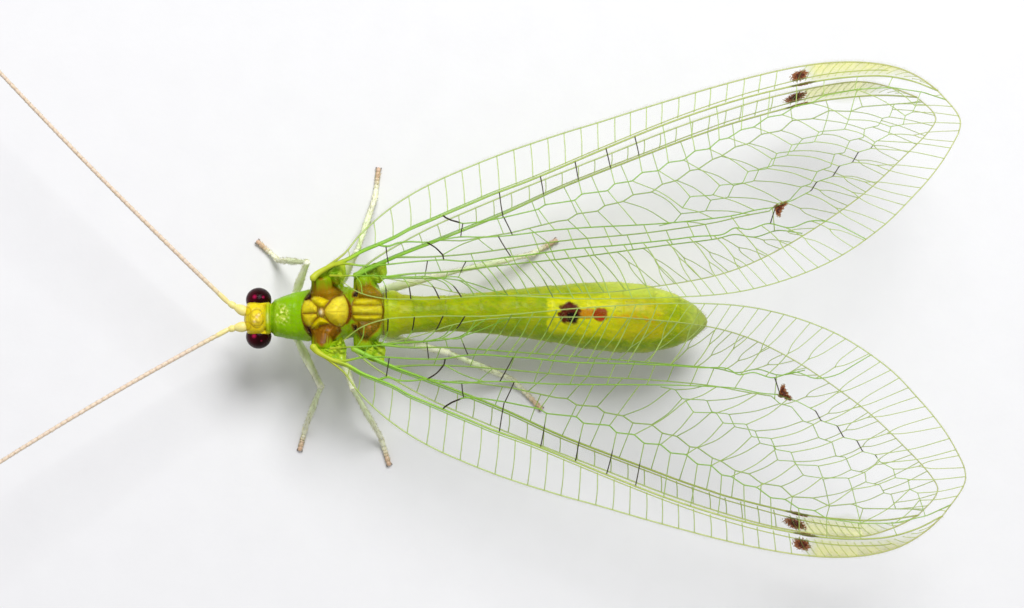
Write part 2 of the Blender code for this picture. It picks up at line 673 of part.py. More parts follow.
def make_antennae(group):
    for name, (root, heading, bend) in ANTENNAE.items():
        place = Vector(root)
        points, radii = [], []
        for number in range(ANTENNA_POINTS):
            share = number / (ANTENNA_POINTS - 1)
            points.append(place.copy())
            radii.append(ANTENNA_RADIUS + (ANTENNA_TIP_RADIUS - ANTENNA_RADIUS) * share)
            turn = math.radians(heading + bend * share)
            climb = math.radians(ANTENNA_SLOPE * (1 - 0.5 * share))
            stride = ANTENNA_LENGTH / (ANTENNA_POINTS - 1)
            place = place + Vector((
                math.cos(turn) * math.cos(climb),
                math.sin(turn) * math.cos(climb),
                math.sin(climb),
            )) * stride
        finish(tube(points, radii), name, "antenna", group)


def make_base(group):
    bm = bmesh.new()
    bmesh.ops.create_cube(
        bm, size=1.0,
        matrix=Matrix.Translation((0, 0, BASE_THICKNESS / 2))
        @ Matrix.Diagonal((BASE_LENGTH, BASE_WIDTH, BASE_THICKNESS, 1.0)),
    )
    upright = [e for e in bm.edges if abs(e.verts[0].co.z - e.verts[1].co.z) > BASE_THICKNESS / 2]
    bmesh.ops.bevel(
        bm, geom=upright, offset=BASE_CORNER, segments=8, affect="EDGES", profile=0.5, material=-1,
    )
    rim = [e for e in bm.edges if all(v.co.z > BASE_THICKNESS * 0.9 for v in e.verts)]
    bmesh.ops.bevel(bm, geom=rim, offset=BASE_EDGE, segments=3, affect="EDGES", profile=0.5, material=-1)
    finish(bm, "stand_base", "stand", group)


def main():
    clear_scene()
    lacewing = collection("green_lacewing")
    make_base(lacewing)
    make_head(lacewing)
    make_thorax(lacewing)
    make_abdomen(lacewing)
    make_wings(lacewing)
    make_legs(lacewing)
    make_antennae(lacewing)


main()
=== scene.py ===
import math
import random

import bmesh
import bpy
import numpy as np
from mathutils import Matrix, Vector, kdtree, noise


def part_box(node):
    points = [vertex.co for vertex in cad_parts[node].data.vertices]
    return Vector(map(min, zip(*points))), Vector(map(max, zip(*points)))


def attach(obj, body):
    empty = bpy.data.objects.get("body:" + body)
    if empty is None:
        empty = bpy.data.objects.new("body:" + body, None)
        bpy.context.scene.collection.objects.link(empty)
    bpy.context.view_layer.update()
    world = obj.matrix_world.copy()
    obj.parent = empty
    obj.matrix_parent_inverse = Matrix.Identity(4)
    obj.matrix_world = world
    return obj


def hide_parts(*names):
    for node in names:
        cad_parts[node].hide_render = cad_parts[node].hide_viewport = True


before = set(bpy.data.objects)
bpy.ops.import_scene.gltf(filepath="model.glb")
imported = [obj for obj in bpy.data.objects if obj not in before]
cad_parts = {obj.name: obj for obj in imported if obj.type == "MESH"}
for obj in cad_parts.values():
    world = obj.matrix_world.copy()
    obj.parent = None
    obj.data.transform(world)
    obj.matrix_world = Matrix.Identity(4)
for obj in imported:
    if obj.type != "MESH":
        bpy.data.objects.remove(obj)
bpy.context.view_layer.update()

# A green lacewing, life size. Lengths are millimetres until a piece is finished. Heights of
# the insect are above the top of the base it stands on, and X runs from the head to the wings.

MM = 0.001
BASE_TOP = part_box("stand_base")[1].z / MM

# The camera looks straight down on the insect's back
CAMERA_LENS = 200.0
CAMERA_ABOVE = 173.97        # above the level of the wing roots
CAMERA_LEVEL = 3.0


# Tools

def attribute(mesh, name, values):
    """Stores one number a vertex on the mesh, for its material to read."""
    made = mesh.attributes.new(name, "FLOAT", "POINT")
    made.data.foreach_set("value", np.asarray(values, dtype=np.float32))


def own(mesh, name, materials, replaced=()):
    """Makes the mesh, in millimetres above the base, a finished piece of the model."""
    count = len(mesh.vertices)
    co = np.empty(count * 3)
    mesh.vertices.foreach_get("co", co)
    co = co.reshape(-1, 3)
    co[:, 2] += BASE_TOP
    mesh.vertices.foreach_set("co", (co * MM).ravel())
    mesh.update()
    mesh.name = name
    piece = bpy.data.objects.new(name, mesh)
    bpy.context.scene.collection.objects.link(piece)
    for finish in materials:
        mesh.materials.append(finish)
    mesh.shade_smooth()
    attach(piece, "root")
    if replaced:
        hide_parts(*replaced)
    return piece


def to_mesh(bm):
    mesh = bpy.data.meshes.new("piece")
    bm.to_mesh(mesh)
    bm.free()
    return mesh


def smooth_line(points, per_span=12):
    """Points close together on a smooth curve through the given ones."""
    points = np.asarray(points, float)
    ends = np.vstack([2 * points[0] - points[1], points, 2 * points[-1] - points[-2]])
    t = np.linspace(0, 1, per_span, endpoint=False)[:, None]
    spans = []
    for a, b, c, d in zip(ends, ends[1:], ends[2:], ends[3:]):
        spans.append(
            (2 * b + (c - a) * t
             + (2 * a - 5 * b + 4 * c - d) * t ** 2
             + (3 * b - a - 3 * c + d) * t ** 3) / 2
        )
    return np.vstack([*spans, points[-1:]])


def soft(value, low, high):
    t = np.clip((value - low) / (high - low), 0, 1)
    return t * t * (3 - 2 * t)


def resampled(line, count):
    """The same line with a given number of evenly spaced points."""
    run = np.concatenate([[0], np.cumsum(np.linalg.norm(np.diff(line, axis=0), axis=1))])
    goal = np.linspace(0, run[-1], count)
    return np.column_stack([np.interp(goal, run, line[:, k]) for k in range(line.shape[1])])


def tube_template(rings, sides):
    """A straight closed tube of unit radius along Z, one unit between its rings."""
    bm = bmesh.new()
    bmesh.ops.create_grid(bm, x_segments=rings - 1, y_segments=sides, size=1.0)
    for vert in bm.verts:
        turn = (vert.co.y + 1) * math.pi
        vert.co = (math.cos(turn), math.sin(turn), round((vert.co.x + 1) / 2 * (rings - 1)))
    bmesh.ops.remove_doubles(bm, verts=bm.verts, dist=1e-5)
    bmesh.ops.holes_fill(bm, edges=bm.edges, sides=0)
    bmesh.ops.recalc_face_normals(bm, faces=bm.faces)
    return to_mesh(bm)


def copies(template, count):
    """One mesh of many copies of the template, in order, from an Array modifier."""
    holder = bpy.data.objects.new("copies", template)
    bpy.context.scene.collection.objects.link(holder)
    array = holder.modifiers.new("array", "ARRAY")
    array.count = count
    array.use_merge_vertices = False
    graph = bpy.context.evaluated_depsgraph_get()
    mesh = bpy.data.meshes.new_from_object(holder.evaluated_get(graph))
    bpy.data.objects.remove(holder)
    return mesh


def tubes(paths, radii, up, sides, values=None):
    """Closed round tubes bent along paths of the same number of points, as one mesh.

    paths is (tubes, rings, 3), radii (tubes, rings), up a direction across each tube, and
    values maps an attribute's name to (tubes, rings) numbers.
    """
    paths = np.asarray(paths, float)
    radii = np.asarray(radii, float)
    count, rings, _ = paths.shape
    template = tube_template(rings, sides)
    flat = np.empty(len(template.vertices) * 3)
    template.vertices.foreach_get("co", flat)
    flat = flat.reshape(-1, 3)
    ring = np.rint(flat[:, 2]).astype(int)
    along = np.gradient(paths, axis=1)
    along /= np.linalg.norm(along, axis=2, keepdims=True) + 1e-12
    across = np.cross(np.broadcast_to(np.asarray(up, float), along.shape), along)
    across /= np.linalg.norm(across, axis=2, keepdims=True) + 1e-12
    over = np.cross(along, across)
    places = (
        paths[:, ring]
        + across[:, ring] * (flat[:, 0] * radii[:, ring])[..., None]
        + over[:, ring] * (flat[:, 1] * radii[:, ring])[..., None]
    )
    mesh = copies(template, count)
    mesh.vertices.foreach_set("co", places.reshape(-1))
    for name, numbers in (values or {}).items():
        attribute(mesh, name, np.asarray(numbers)[:, ring].ravel())
    return mesh


def rounded(path, radius, tip=0.35):
    """Adds a short narrow ring at each end of a path, so that a tube there ends round."""
    path = np.asarray(path, float)
    radius = np.broadcast_to(np.asarray(radius, float), (len(path),)).copy()
    first = path[0] - path[1]
    last = path[-1] - path[-2]
    head = path[0] + first / (np.linalg.norm(first) + 1e-9) * radius[0] * 0.6
    tail = path[-1] + last / (np.linalg.norm(last) + 1e-9) * radius[-1] * 0.6
    return np.vstack([head, path, tail]), np.concatenate([[radius[0] * tip], radius, [radius[-1] * tip]])


# Materials

class Shader:
    """A node material with a Principled shader, and short ways to add nodes to it."""

    def __init__(self, name, **sockets):
        self.material = bpy.data.materials.new(name)
        self.material.use_nodes = True
        self.nodes = self.material.node_tree.nodes
        self.links = self.material.node_tree.links
        self.surface = self.nodes["Principled BSDF"]
        for socket, value in sockets.items():
            self.set(socket.replace("_", " "), value)

    def set(self, socket, value):
        if isinstance(value, bpy.types.NodeSocket):
            self.links.new(value, self.surface.inputs[socket])
        elif isinstance(value, tuple) and len(value) == 3 and "Color" in socket:
            self.surface.inputs[socket].default_value = (*value, 1.0)
        else:
            self.surface.inputs[socket].default_value = value

    def node(self, kind, outlet=0, **inputs):
        made = self.nodes.new(kind)
        for name, value in inputs.items():
            key = name.replace("_", " ")
            if not hasattr(made, name) or key in made.inputs:
                numbered = name[0] == "i" and name[1:].isdigit()
                target = made.inputs[int(name[1:]) if numbered else key]
                if isinstance(value, bpy.types.NodeSocket):
                    self.links.new(value, target)
                elif isinstance(value, tuple) and target.type == "RGBA":
                    target.default_value = (*value, 1.0)[:4]
                else:
                    target.default_value = value
            else:
                setattr(made, name, value)
        return made.outputs[outlet]

    def place(self):
        return self.node("ShaderNodeTexCoord", "Object")

    def read(self, name):
        return self.node("ShaderNodeAttribute", "Fac", attribute_name=name)

    def paint(self, name):
        return self.node("ShaderNodeAttribute", "Color", attribute_name=name)

    def noise(self, vector, scale, detail=4.0, outlet=0):
        return self.node("ShaderNodeTexNoise", outlet, Vector=vector, Scale=scale, Detail=detail)

    def mix(self, share, one, other):
        made = self.nodes.new("ShaderNodeMix")
        made.data_type = "RGBA"
        for key, value in ((0, share), (6, one), (7, other)):
            if isinstance(value, bpy.types.NodeSocket):
                self.links.new(value, made.inputs[key])
            elif isinstance(value, tuple):
                made.inputs[key].default_value = (*value, 1.0)
            else:
                made.inputs[key].default_value = value
        return made.outputs[2]

    def math(self, operation, one, other=0.0, clamp=False):
        made = self.nodes.new("ShaderNodeMath")
        made.operation = operation
        made.use_clamp = clamp
        for key, value in enumerate((one, other)):
            if isinstance(value, bpy.types.NodeSocket):
                self.links.new(value, made.inputs[key])
            else:
                made.inputs[key].default_value = value
        return made.outputs[0]

    def between(self, value, low, high):
        """0 below low, 1 above high, and a smooth step in between."""
        made = self.nodes.new("ShaderNodeMapRange")
        made.interpolation_type = "SMOOTHSTEP"
        self.links.new(value, made.inputs[0])
        made.inputs[1].default_value = low
        made.inputs[2].default_value = high
        return made.outputs[0]

    def bump(self, height, strength, distance):
        made = self.node("ShaderNodeBump", Height=height, Strength=strength, Distance=distance * MM)
        self.links.new(made, self.surface.inputs["Normal"])


# The wings. Along a wing X runs from its root to its tip, and Y towards its front edge.

CAMBER = 0.22
WIDEST = 3.6

FORE_LINES = {
    "front": [(0.05, 0.10), (0.55, 0.36), (0.80, 0.54), (1.18, 0.93), (1.70, 1.31), (2.27, 1.65),
              (2.90, 1.95), (3.55, 2.20), (4.4, 2.44), (6.0, 2.77), (7.8, 3.0), (9.07, 3.11),
              (10.33, 3.24), (11.6, 3.35), (12.84, 3.44), (14.1, 3.48), (15.3, 3.45), (16.37, 3.32),
              (17.4, 3.05), (18.25, 2.62), (18.92, 2.02), (19.35, 1.45)],
    "rear": [(0.50, -0.50), (1.05, -1.05), (1.77, -1.42), (2.57, -1.62), (3.41, -1.80), (4.9, -2.08),
             (7.5, -2.78), (10.2, -3.42),
             (12.7, -3.73), (15.0, -3.48), (16.9, -2.74), (18.12, -1.88), (18.93, -1.18), (19.45, -0.58),
             (19.80, -0.02), (19.80, 0.50), (19.35, 1.45)],
    "radius": [(-0.39, -0.17), (-0.2, -0.02), (0.25, 0.13), (0.75, 0.20), (1.24, 0.37), (1.78, 0.48),
               (2.3, 0.60), (2.8, 0.78), (3.46, 0.93), (4.2, 1.10), (4.9, 1.25), (5.5, 1.38),
               (6.8, 1.60), (9.0, 2.07), (11.0, 2.46), (12.8, 2.70), (14.4, 2.80), (16.1, 2.77),
               (17.6, 2.48), (18.6, 2.02), (19.35, 1.45)],
    "sector": [(3.86, 1.02), (3.95, 0.90), (4.12, 0.75), (4.45, 0.54), (5.0, 0.46), (5.65, 0.44),
               (6.80, 0.46), (7.03, 0.56), (7.94, 0.49), (8.19, 0.65), (8.98, 0.57), (9.23, 0.75),
               (9.77, 0.71), (10.11, 0.92), (10.61, 0.86), (10.95, 1.06), (11.42, 1.02), (11.81, 1.25),
               (12.23, 1.21), (12.59, 1.44), (12.88, 1.43), (13.3, 1.62), (13.69, 1.61), (14.16, 1.86),
               (14.6, 1.82), (15.05, 2.03), (15.53, 2.0), (15.93, 2.18), (16.97, 2.13), (17.99, 1.93),
               (18.9, 1.52), (19.55, 1.05)],
    "media": [(1.78, 0.48), (2.05, 0.35), (2.4, 0.38), (2.75, 0.33), (3.27, 0.18), (3.6, 0.17),
              (4.3, 0.12), (4.92, -0.03), (5.46, -0.14), (5.95, -0.22), (7.2, -0.39), (9.65, -0.82),
              (11.1, -1.06), (12.5, -1.25), (13.3, -1.25), (13.85, -1.30)],
    "steps": [(13.80, -1.30), (14.5, -1.20), (15.07, -1.02), (15.28, -0.75), (15.78, -0.69),
              (16.03, -0.37), (16.43, -0.36), (16.67, -0.05), (17.05, -0.03), (17.22, 0.15),
              (17.66, 0.29), (17.78, 0.55), (18.15, 0.52), (18.26, 0.82), (18.5, 0.88),
              (18.61, 1.07), (18.85, 1.55)],
    "gradate": [(11.14, -0.61), (11.44, -0.30), (12.12, -0.41), (12.38, -0.14), (13.07, -0.24),
                (13.30, 0.11), (13.88, 0.05), (14.08, 0.36), (14.55, 0.35), (14.74, 0.72),
                (15.42, 0.61), (15.61, 0.97), (16.38, 0.82), (16.55, 1.15), (16.97, 2.13)],
    "cubitus": [(0.35, 0.12), (0.65, 0.10), (1.13, -0.09), (1.6, -0.20), (2.0, -0.26), (2.6, -0.33),
                (3.2, -0.42), (3.7, -0.53), (4.3, -0.75), (4.9, -0.88), (5.6, -0.95), (6.3, -1.03),
                (7.6, -1.13), (9.3, -1.40), (10.5, -1.58), (11.4, -1.68), (12.17, -1.80),
                (12.6, -1.68), (13.04, -1.82), (13.63, -1.77), (14.25, -2.05), (14.9, -1.98),
                (15.5, -2.20), (16.0, -2.62), (16.42, -2.98)],
    "anal": [(0.16, -0.20), (0.58, -0.31), (1.16, -0.45), (1.61, -0.56), (2.38, -0.80), (3.08, -0.98),
             (3.45, -1.12), (4.06, -1.24), (4.4, -1.62), (4.83, -2.04)],
}
FORE_LINKS = {
    "costal": ([(0.84, 0.82), (1.20, 1.20), (1.67, 1.72), (2.25, 2.29), (2.83, 2.90), (3.46, 3.54)],
               4.02, 0.565, 14.9),
    "stigma": (15.2, 18.9),
    "radius sector": [(5.68, 5.70), (7.00, 7.03), (8.12, 8.19), (9.12, 9.23), (10.05, 10.11),
                      (10.95, 10.95), (11.8, 11.81), (12.66, 12.59), (13.52, 13.3), (14.34, 14.16),
                      (15.18, 15.05), (16.03, 15.93), (17.05, 16.9), (18.1, 17.9)],
    "sector media": [(4.45, 4.32), (5.72, 5.90), (6.80, 7.21), (7.94, 8.31), (8.98, 9.69)],
    "sector gradate": [(9.77, 11.15), (10.61, 11.44), (11.42, 12.38), (12.23, 13.3), (12.88, 14.08),
                       (13.69, 14.74), (14.6, 15.61), (15.53, 16.55)],
    "gradate media": [(11.15, 12.0), (12.12, 13.29)],
    "gradate steps": [(13.07, 14.2), (13.88, 15.28), (14.55, 16.03), (15.42, 16.67), (16.38, 17.22),
                      (16.55, 17.78)],
    "sector steps": [(16.97, 18.26), (17.99, 18.61)],
    "media cubitus": [(2.0, 2.0), (5.46, 5.76), (6.5, 6.65), (7.6, 7.75),
                      (8.7, 8.85), (9.9, 10.05), (11.2, 11.35), (12.55, 12.75)],
    "steps cubitus": [(13.95, 13.68)],
    "cubitus anal": [(1.2, 1.3), (3.2, 3.06), (4.38, 4.08)],
}
# Veins to the rear edge: the line and place where each leaves, how far along the edge it ends,
# how many branches it has, and how dark its end is.
FORE_RIM = [
    ("anal", 0.95, 0.80, 1, 0.0), ("anal", 1.69, 1.59, 1, 0.8), ("anal", 2.38, 2.41, 1, 1.0),
    ("anal", 2.95, 3.27, 1, 1.0), ("anal", 3.52, 3.97, 1, 1.0), ("cubitus", 4.85, 5.40, 1, 0.5),
    ("cubitus", 5.55, 6.10, 1, 0.3), ("cubitus", 6.20, 6.77, 1, 0.5), ("cubitus", 6.80, 7.40, 1, 0.2),
    ("cubitus", 7.40, 7.98, 1, 0.0), ("cubitus", 8.00, 8.60, 1, 0.0), ("cubitus", 8.60, 9.22, 1, 0.0),
    ("cubitus", 9.20, 9.85, 1, 0.0), ("cubitus", 9.80, 10.68, 2, 0.0), ("cubitus", 10.5, 11.49, 2, 0.0),
    ("cubitus", 11.2, 12.30, 2, 0.0), ("cubitus", 11.95, 13.11, 2, 0.0), ("cubitus", 12.65, 13.92, 2, 0.0),
    ("cubitus", 13.4, 14.73, 2, 0.0), ("cubitus", 14.1, 15.54, 2, 0.0), ("cubitus", 14.9, 16.36, 2, 0.0),
    ("steps", 14.9, 17.17, 2, 0.0), ("steps", 15.40, 17.93, 2, 0.0), ("steps", 15.78, 18.68, 2, 0.0),
    ("steps", 16.43, 19.42, 2, 0.0), ("steps", 17.05, 20.08, 1, 0.0), ("steps", 17.30, 20.44, 1, 0.0),
    ("steps", 17.66, 20.86, 2, 0.0), ("steps", 18.15, 21.30, 1, 0.0), ("steps", 18.50, 21.62, 1, 0.0),
    ("steps", 18.62, 21.98, 1, 0.0),
]
HIND_LINES = {
    "front": [(-0.35, -0.12), (0.3, 0.24), (1.2, 0.56), (2.4, 0.90), (4.0, 1.20), (6.0, 1.52),
              (8.1, 1.82), (10.0, 2.10), (11.8, 2.27), (13.4, 2.33), (15.0, 2.22), (16.1, 1.98),
              (17.0, 1.47), (17.6, 0.95)],
    "rear": [(0.50, -0.45), (1.6, -1.0), (2.7, -1.62), (4.2, -2.14), (6.2, -2.62), (8.0, -2.98),
             (10.6, -3.24), (12.8, -2.86), (15.2, -1.90), (16.8, -0.98), (17.8, -0.25),
             (18.0, 0.2), (17.6, 0.95)],
    "radius": [(-0.35, -0.12), (1.0, 0.14), (2.4, 0.32), (4.5, 0.64), (6.6, 1.07), (9.4, 1.46),
               (10.3, 1.58), (11.2, 1.67), (12.0, 1.73), (14.0, 1.74), (15.4, 1.60), (16.6, 1.35),
               (17.6, 0.95)],
    "sector": [(2.4, 0.32), (3.1, 0.10), (4.6, -0.04), (6.09, -0.06), (6.42, -0.11), (6.74, 0.02),
               (7.37, -0.08), (7.62, 0.05), (8.19, 0.02), (8.54, 0.17), (9.11, 0.08), (9.48, 0.27),
               (9.93, 0.26), (10.39, 0.49), (10.63, 0.46), (11.13, 0.67), (11.41, 0.70), (11.89, 0.89),
               (12.32, 0.89), (12.75, 1.09), (13.36, 1.04), (13.76, 1.28), (14.37, 1.17), (14.92, 1.30),
               (15.56, 1.08), (15.93, 1.14), (16.7, 0.96), (17.72, 0.72)],
    "media": [(1.0, 0.14), (1.9, -0.12), (3.0, -0.34), (4.4, -0.56), (6.4, -0.85), (8.8, -1.25),
              (10.6, -1.50), (11.6, -1.55), (12.48, -1.61)],
    "steps": [(12.48, -1.61), (12.79, -1.44), (13.16, -1.43), (13.59, -1.08), (13.89, -1.06),
              (14.16, -0.68), (14.58, -0.64), (14.79, -0.25), (15.08, -0.29), (15.33, 0.05),
              (15.76, 0.04), (15.85, 0.31), (16.28, 0.30), (16.45, 0.51), (16.67, 0.50), (16.9, 0.92)],
    "gradate": [(9.13, -1.11), (9.58, -1.13), (9.85, -0.90), (10.59, -1.03), (10.82, -0.71),
                (11.34, -0.77), (11.60, -0.43), (12.22, -0.46), (12.46, -0.12), (12.88, -0.13),
                (13.09, 0.27), (13.59, 0.18), (13.95, 0.55), (14.55, 0.50), (14.92, 1.30)],
    "cubitus": [(0.50, -0.45), (1.4, -0.56), (2.6, -0.84), (4.2, -1.10), (6.6, -1.46), (9.0, -1.82),
                (10.6, -2.04), (11.3, -2.06), (11.9, -2.30), (12.6, -2.28), (13.3, -2.60)],
    "anal": [(0.50, -0.45), (1.4, -0.72), (2.4, -1.05), (3.2, -1.45), (4.2, -2.14)],
}
HIND_LINKS = {
    "costal": ([(1.3, 1.25), (1.9, 1.85), (2.5, 2.45)], 3.1, 0.58, 13.3),
    "stigma": (13.8, 17.0),
    "radius sector": [(4.3, 4.4), (5.45, 5.6), (6.5, 6.74), (7.4, 7.62), (8.35, 8.54), (9.38, 9.48),
                      (10.29, 10.39), (11.16, 11.13), (11.96, 11.89), (12.85, 12.75), (13.8, 13.76),
                      (14.9, 14.92), (15.9, 15.93)],
    "sector media": [(3.6, 4.0), (5.2, 5.7), (6.42, 6.9), (7.37, 7.95)],
    "sector gradate": [(8.19, 9.45), (9.11, 9.85), (9.93, 10.82), (10.63, 11.60), (11.41, 12.46),
                       (12.32, 13.09), (13.36, 13.95)],
    "gradate media": [(9.58, 10.5), (10.59, 11.9)],
    "gradate steps": [(11.34, 12.79), (12.22, 13.59), (12.88, 14.16), (13.59, 14.79), (14.55, 15.33)],
    "sector steps": [(14.37, 15.85), (15.56, 16.45)],
    "media cubitus": [(2.2, 2.3), (3.3, 3.4), (4.5, 4.6), (5.7, 5.8), (6.9, 7.0), (8.1, 8.2),
                      (9.3, 9.4), (10.5, 10.6)],
    "steps cubitus": [(12.6, 12.5)],
    "cubitus anal": [(1.5, 1.5), (2.5, 2.4)],
}
HIND_RIM = [
    ("anal", 2.0, 2.3, 1, 0.2), ("anal", 2.8, 3.0, 1, 0.2), ("cubitus", 3.4, 3.75, 1, 0.2),
    ("cubitus", 4.0, 4.40, 1, 0.0), ("cubitus", 4.6, 5.06, 1, 0.0), ("cubitus", 5.2, 5.72, 1, 0.0),
    ("cubitus", 5.8, 6.38, 1, 0.0), ("cubitus", 6.4, 7.04, 1, 0.0), ("cubitus", 7.0, 7.70, 1, 0.0),
    ("cubitus", 7.7, 8.56, 2, 0.0), ("cubitus", 8.5, 9.40, 2, 0.0), ("cubitus", 9.3, 10.24, 2, 0.0),
    ("cubitus", 10.1, 11.08, 2, 0.0), ("cubitus", 10.9, 11.92, 2, 0.0), ("cubitus", 11.8, 12.76, 2, 0.0),
    ("cubitus", 12.6, 13.60, 2, 0.0), ("steps", 12.9, 14.40, 2, 0.0), ("steps", 13.70, 15.18, 2, 0.0),
    ("steps", 14.35, 15.92, 2, 0.0), ("steps", 14.9, 16.62, 2, 0.0), ("steps", 15.60, 17.30, 2, 0.0),
    ("steps", 16.10, 17.85, 1, 0.0), ("steps", 16.40, 18.22, 1, 0.0), ("steps", 16.65, 18.60, 1, 0.0),
    ("steps", 16.8, 18.98, 1, 0.0),
]
ANGULAR = ("sector", "steps", "gradate")


class Line:
    """One long vein: smooth, or bent at every point where it is angular."""

    def __init__(self, points, angular):
        points = np.array(points)
        if angular:
            share = np.linspace(0, 1, 10, endpoint=False)[:, None]
            spans = [a + (b - a) * share for a, b in zip(points, points[1:])]
            line = np.vstack([*spans, points[-1:]])
            line[1:-1] = (line[:-2] + 2 * line[1:-1] + line[2:]) / 4
        else:
            line = smooth_line(points)
        self.line = line
        self.run = np.concatenate([[0], np.cumsum(np.linalg.norm(np.diff(line, axis=0), axis=1))])

    def at(self, run):
        return np.array([np.interp(run, self.run, self.line[:, k]) for k in (0, 1)])

    def run_at(self, x):
        """How far along the line it passes this distance from the root."""
        xs = self.line[:, 0]
        for k in range(1, len(xs)):
            if (xs[k - 1] - x) * (xs[k] - x) <= 0 and xs[k - 1] != xs[k]:
                part = (x - xs[k - 1]) / (xs[k] - xs[k - 1])
                return self.run[k - 1] + part * (self.run[k] - self.run[k - 1])
        return self.run[-1]

    def joint(self, x):
        return self.at(self.run_at(x))


class Net:
    """All veins of one wing as flat paths: radius, tint and darkness along each."""

    def __init__(self, lines, links, rim, seed):
        self.dice = random.Random(seed)
        self.fore = lines is FORE_LINES
        self.lines = {name: Line(points, name in ANGULAR) for name, points in lines.items()}
        self.short = []
        self.long = []
        self.cross(links)
        self.edge(rim)
        self.trace(links)

    def link(self, a, b, thick=0.027, ink=(0.0, 0.0), bend=0.0, tint=0.2):
        """A short vein from a to b, a little bent. ink is its darkness at a and at b."""
        a, b = np.asarray(a), np.asarray(b)
        span = b - a
        bend += self.dice.uniform(-0.012, 0.012)
        side = np.array([-span[1], span[0]]) * bend
        path = smooth_line([a, (a + b) / 2 + side, b], per_span=5)
        share = np.linspace(0, 1, len(path))
        dark = ink[0] * soft(0.66 - share, -0.02, 0.14) + ink[1] * soft(share, 0.40, 0.62)
        self.short.append((path, thick, np.clip(dark, 0, 1), tint))

    def cross(self, links):
        lines = self.lines
        front, radius = lines["front"], lines["radius"]
        pairs, x, step, last = links["costal"]
        pairs = list(pairs)
        while x < last:
            share = x / last
            pairs.append((x, x + 0.04 + 0.14 * share ** 2))
            x += step * (1.02 - 0.16 * share) + self.dice.uniform(-0.03, 0.03)
        for at, to in pairs:
            self.link(radius.joint(at) + (0, 0.06), front.joint(to), 0.032, bend=-0.02, tint=0.40)
        x, last = links["stigma"]
        while x < last:
            self.link(radius.joint(x) + (0, 0.10), front.joint(x + 0.42), 0.022, tint=0.45, bend=0.05)
            x += self.dice.uniform(0.20, 0.27)
        for pair, places in links.items():
            if pair in ("costal", "stigma"):
                continue
            one, other = (lines[name] for name in pair.split())
            for k, (at, to) in enumerate(places):
                ink, bend = (0.0, 0.0), 0.0
                if self.fore:
                    if pair == "radius sector" and k < 5:
                        ink = ((1.0, 1.0), (1.0, 0.35), (1.0, 0.0), (0.9, 0.0), (0.7, 0.0))[k]
                    elif pair == "sector media" and k < 2:
                        ink = (1.0, 0.8)
                    elif pair == "media cubitus" and k < 2:
                        ink = (0.9, 0.7)
                    elif pair == "steps cubitus":
                        ink = (0.7, 1.0)
                    elif pair == "cubitus anal" and k > 0:
                        ink = (1.0, 0.4)
                if pair in ("sector gradate", "gradate steps", "sector steps", "gradate media"):
                    bend = 0.05
                self.link(one.joint(at), other.joint(to), 0.029, ink, bend)
        if self.fore:
            # The small pointed cell behind the root of the sector, with dark sides.
            low = np.array([3.69, -0.34])
            self.link(lines["media"].joint(3.27), low, 0.038, (1.0, 1.0), 0.06)
            self.link(low, lines["cubitus"].joint(3.70), 0.038, (1.0, 1.0))
            self.link(low, lines["media"].joint(5.0), 0.036, (0.30, 0.30), 0.04)

    def edge(self, rim):
        """Veins to the rear edge, single near the root and forked further out."""
        rear = self.lines["rear"]
        for number, (name, x, run, branches, ink) in enumerate(rim):
            leave = self.lines[name].joint(x)
            tint = 0.18 + 0.22 * number / len(rim)
            run += self.dice.uniform(-0.03, 0.03)
            if branches == 1:
                bow = 0.10 if name == "anal" else 0.03
                self.link(leave, rear.at(run), 0.033 - 0.006 * number / len(rim), (0.0, ink), bow, tint)
                continue
            middle = rear.at(run)
            knee = leave + (middle - leave) * self.dice.uniform(0.30, 0.46)
            self.link(leave, knee, 0.030, bend=0.03, tint=tint)
            for side in (1, -1):
                end = rear.at(run + 0.20 * side)
                spread = (end - middle) * 0.62
                path = smooth_line([knee, knee + (middle - knee) * 0.30 + spread, end], per_span=5)
                self.short.append((path, 0.026, np.zeros(len(path)), tint + 0.05))
        sector = self.lines["sector"]
        total = rear.run[-1]
        for back, out in ((0.75, 0.42), (0.40, 0.20)):
            self.link(sector.at(sector.run[-1] - back), rear.at(total - out), 0.026, tint=0.4)

    def trace(self, links):
        far = 0.0 if self.fore else 0.16
        self.vein("front", 0.048, 0.048, 0.55, 0.90, stem=0.05)
        self.vein("rear", 0.036, 0.040, 0.45 + far, 0.85)
        self.vein("radius", 0.080, 0.050, 0.10, -1.0, stem=0.15 if self.fore else 0.10)
        self.vein("sector", 0.046, 0.036, 0.15 + far, 0.30 + far)
        self.vein("media", 0.050, 0.036, 0.12 + far, 0.22 + far, stem=0.03)
        self.vein("steps", 0.031, 0.028, 0.26, 0.40)
        self.vein("gradate", 0.030, 0.028, 0.24, 0.36)
        self.vein("cubitus", 0.052, 0.034, 0.10 + far, 0.22, stem=0.05)
        self.vein("anal", 0.042, 0.032, 0.15, 0.20, stem=0.04)
        # The subcosta lies close in front of the radius and leaves it before the patch.
        along = self.lines["radius"].line
        x = along[:, 0]
        reach = links["stigma"][1] - 0.9
        keep = (x > 0.4) & (x < reach)
        parting = np.interp(x, [0.4, reach * 0.60, reach * 0.80, reach], [0.070, 0.085, 0.15, 0.24])
        beside = along[keep] + np.column_stack([np.zeros(keep.sum()), parting[keep]])
        self.long.append((beside, np.linspace(0.046, 0.032, keep.sum()), 0.20, -1.2,
                          np.zeros(keep.sum())))

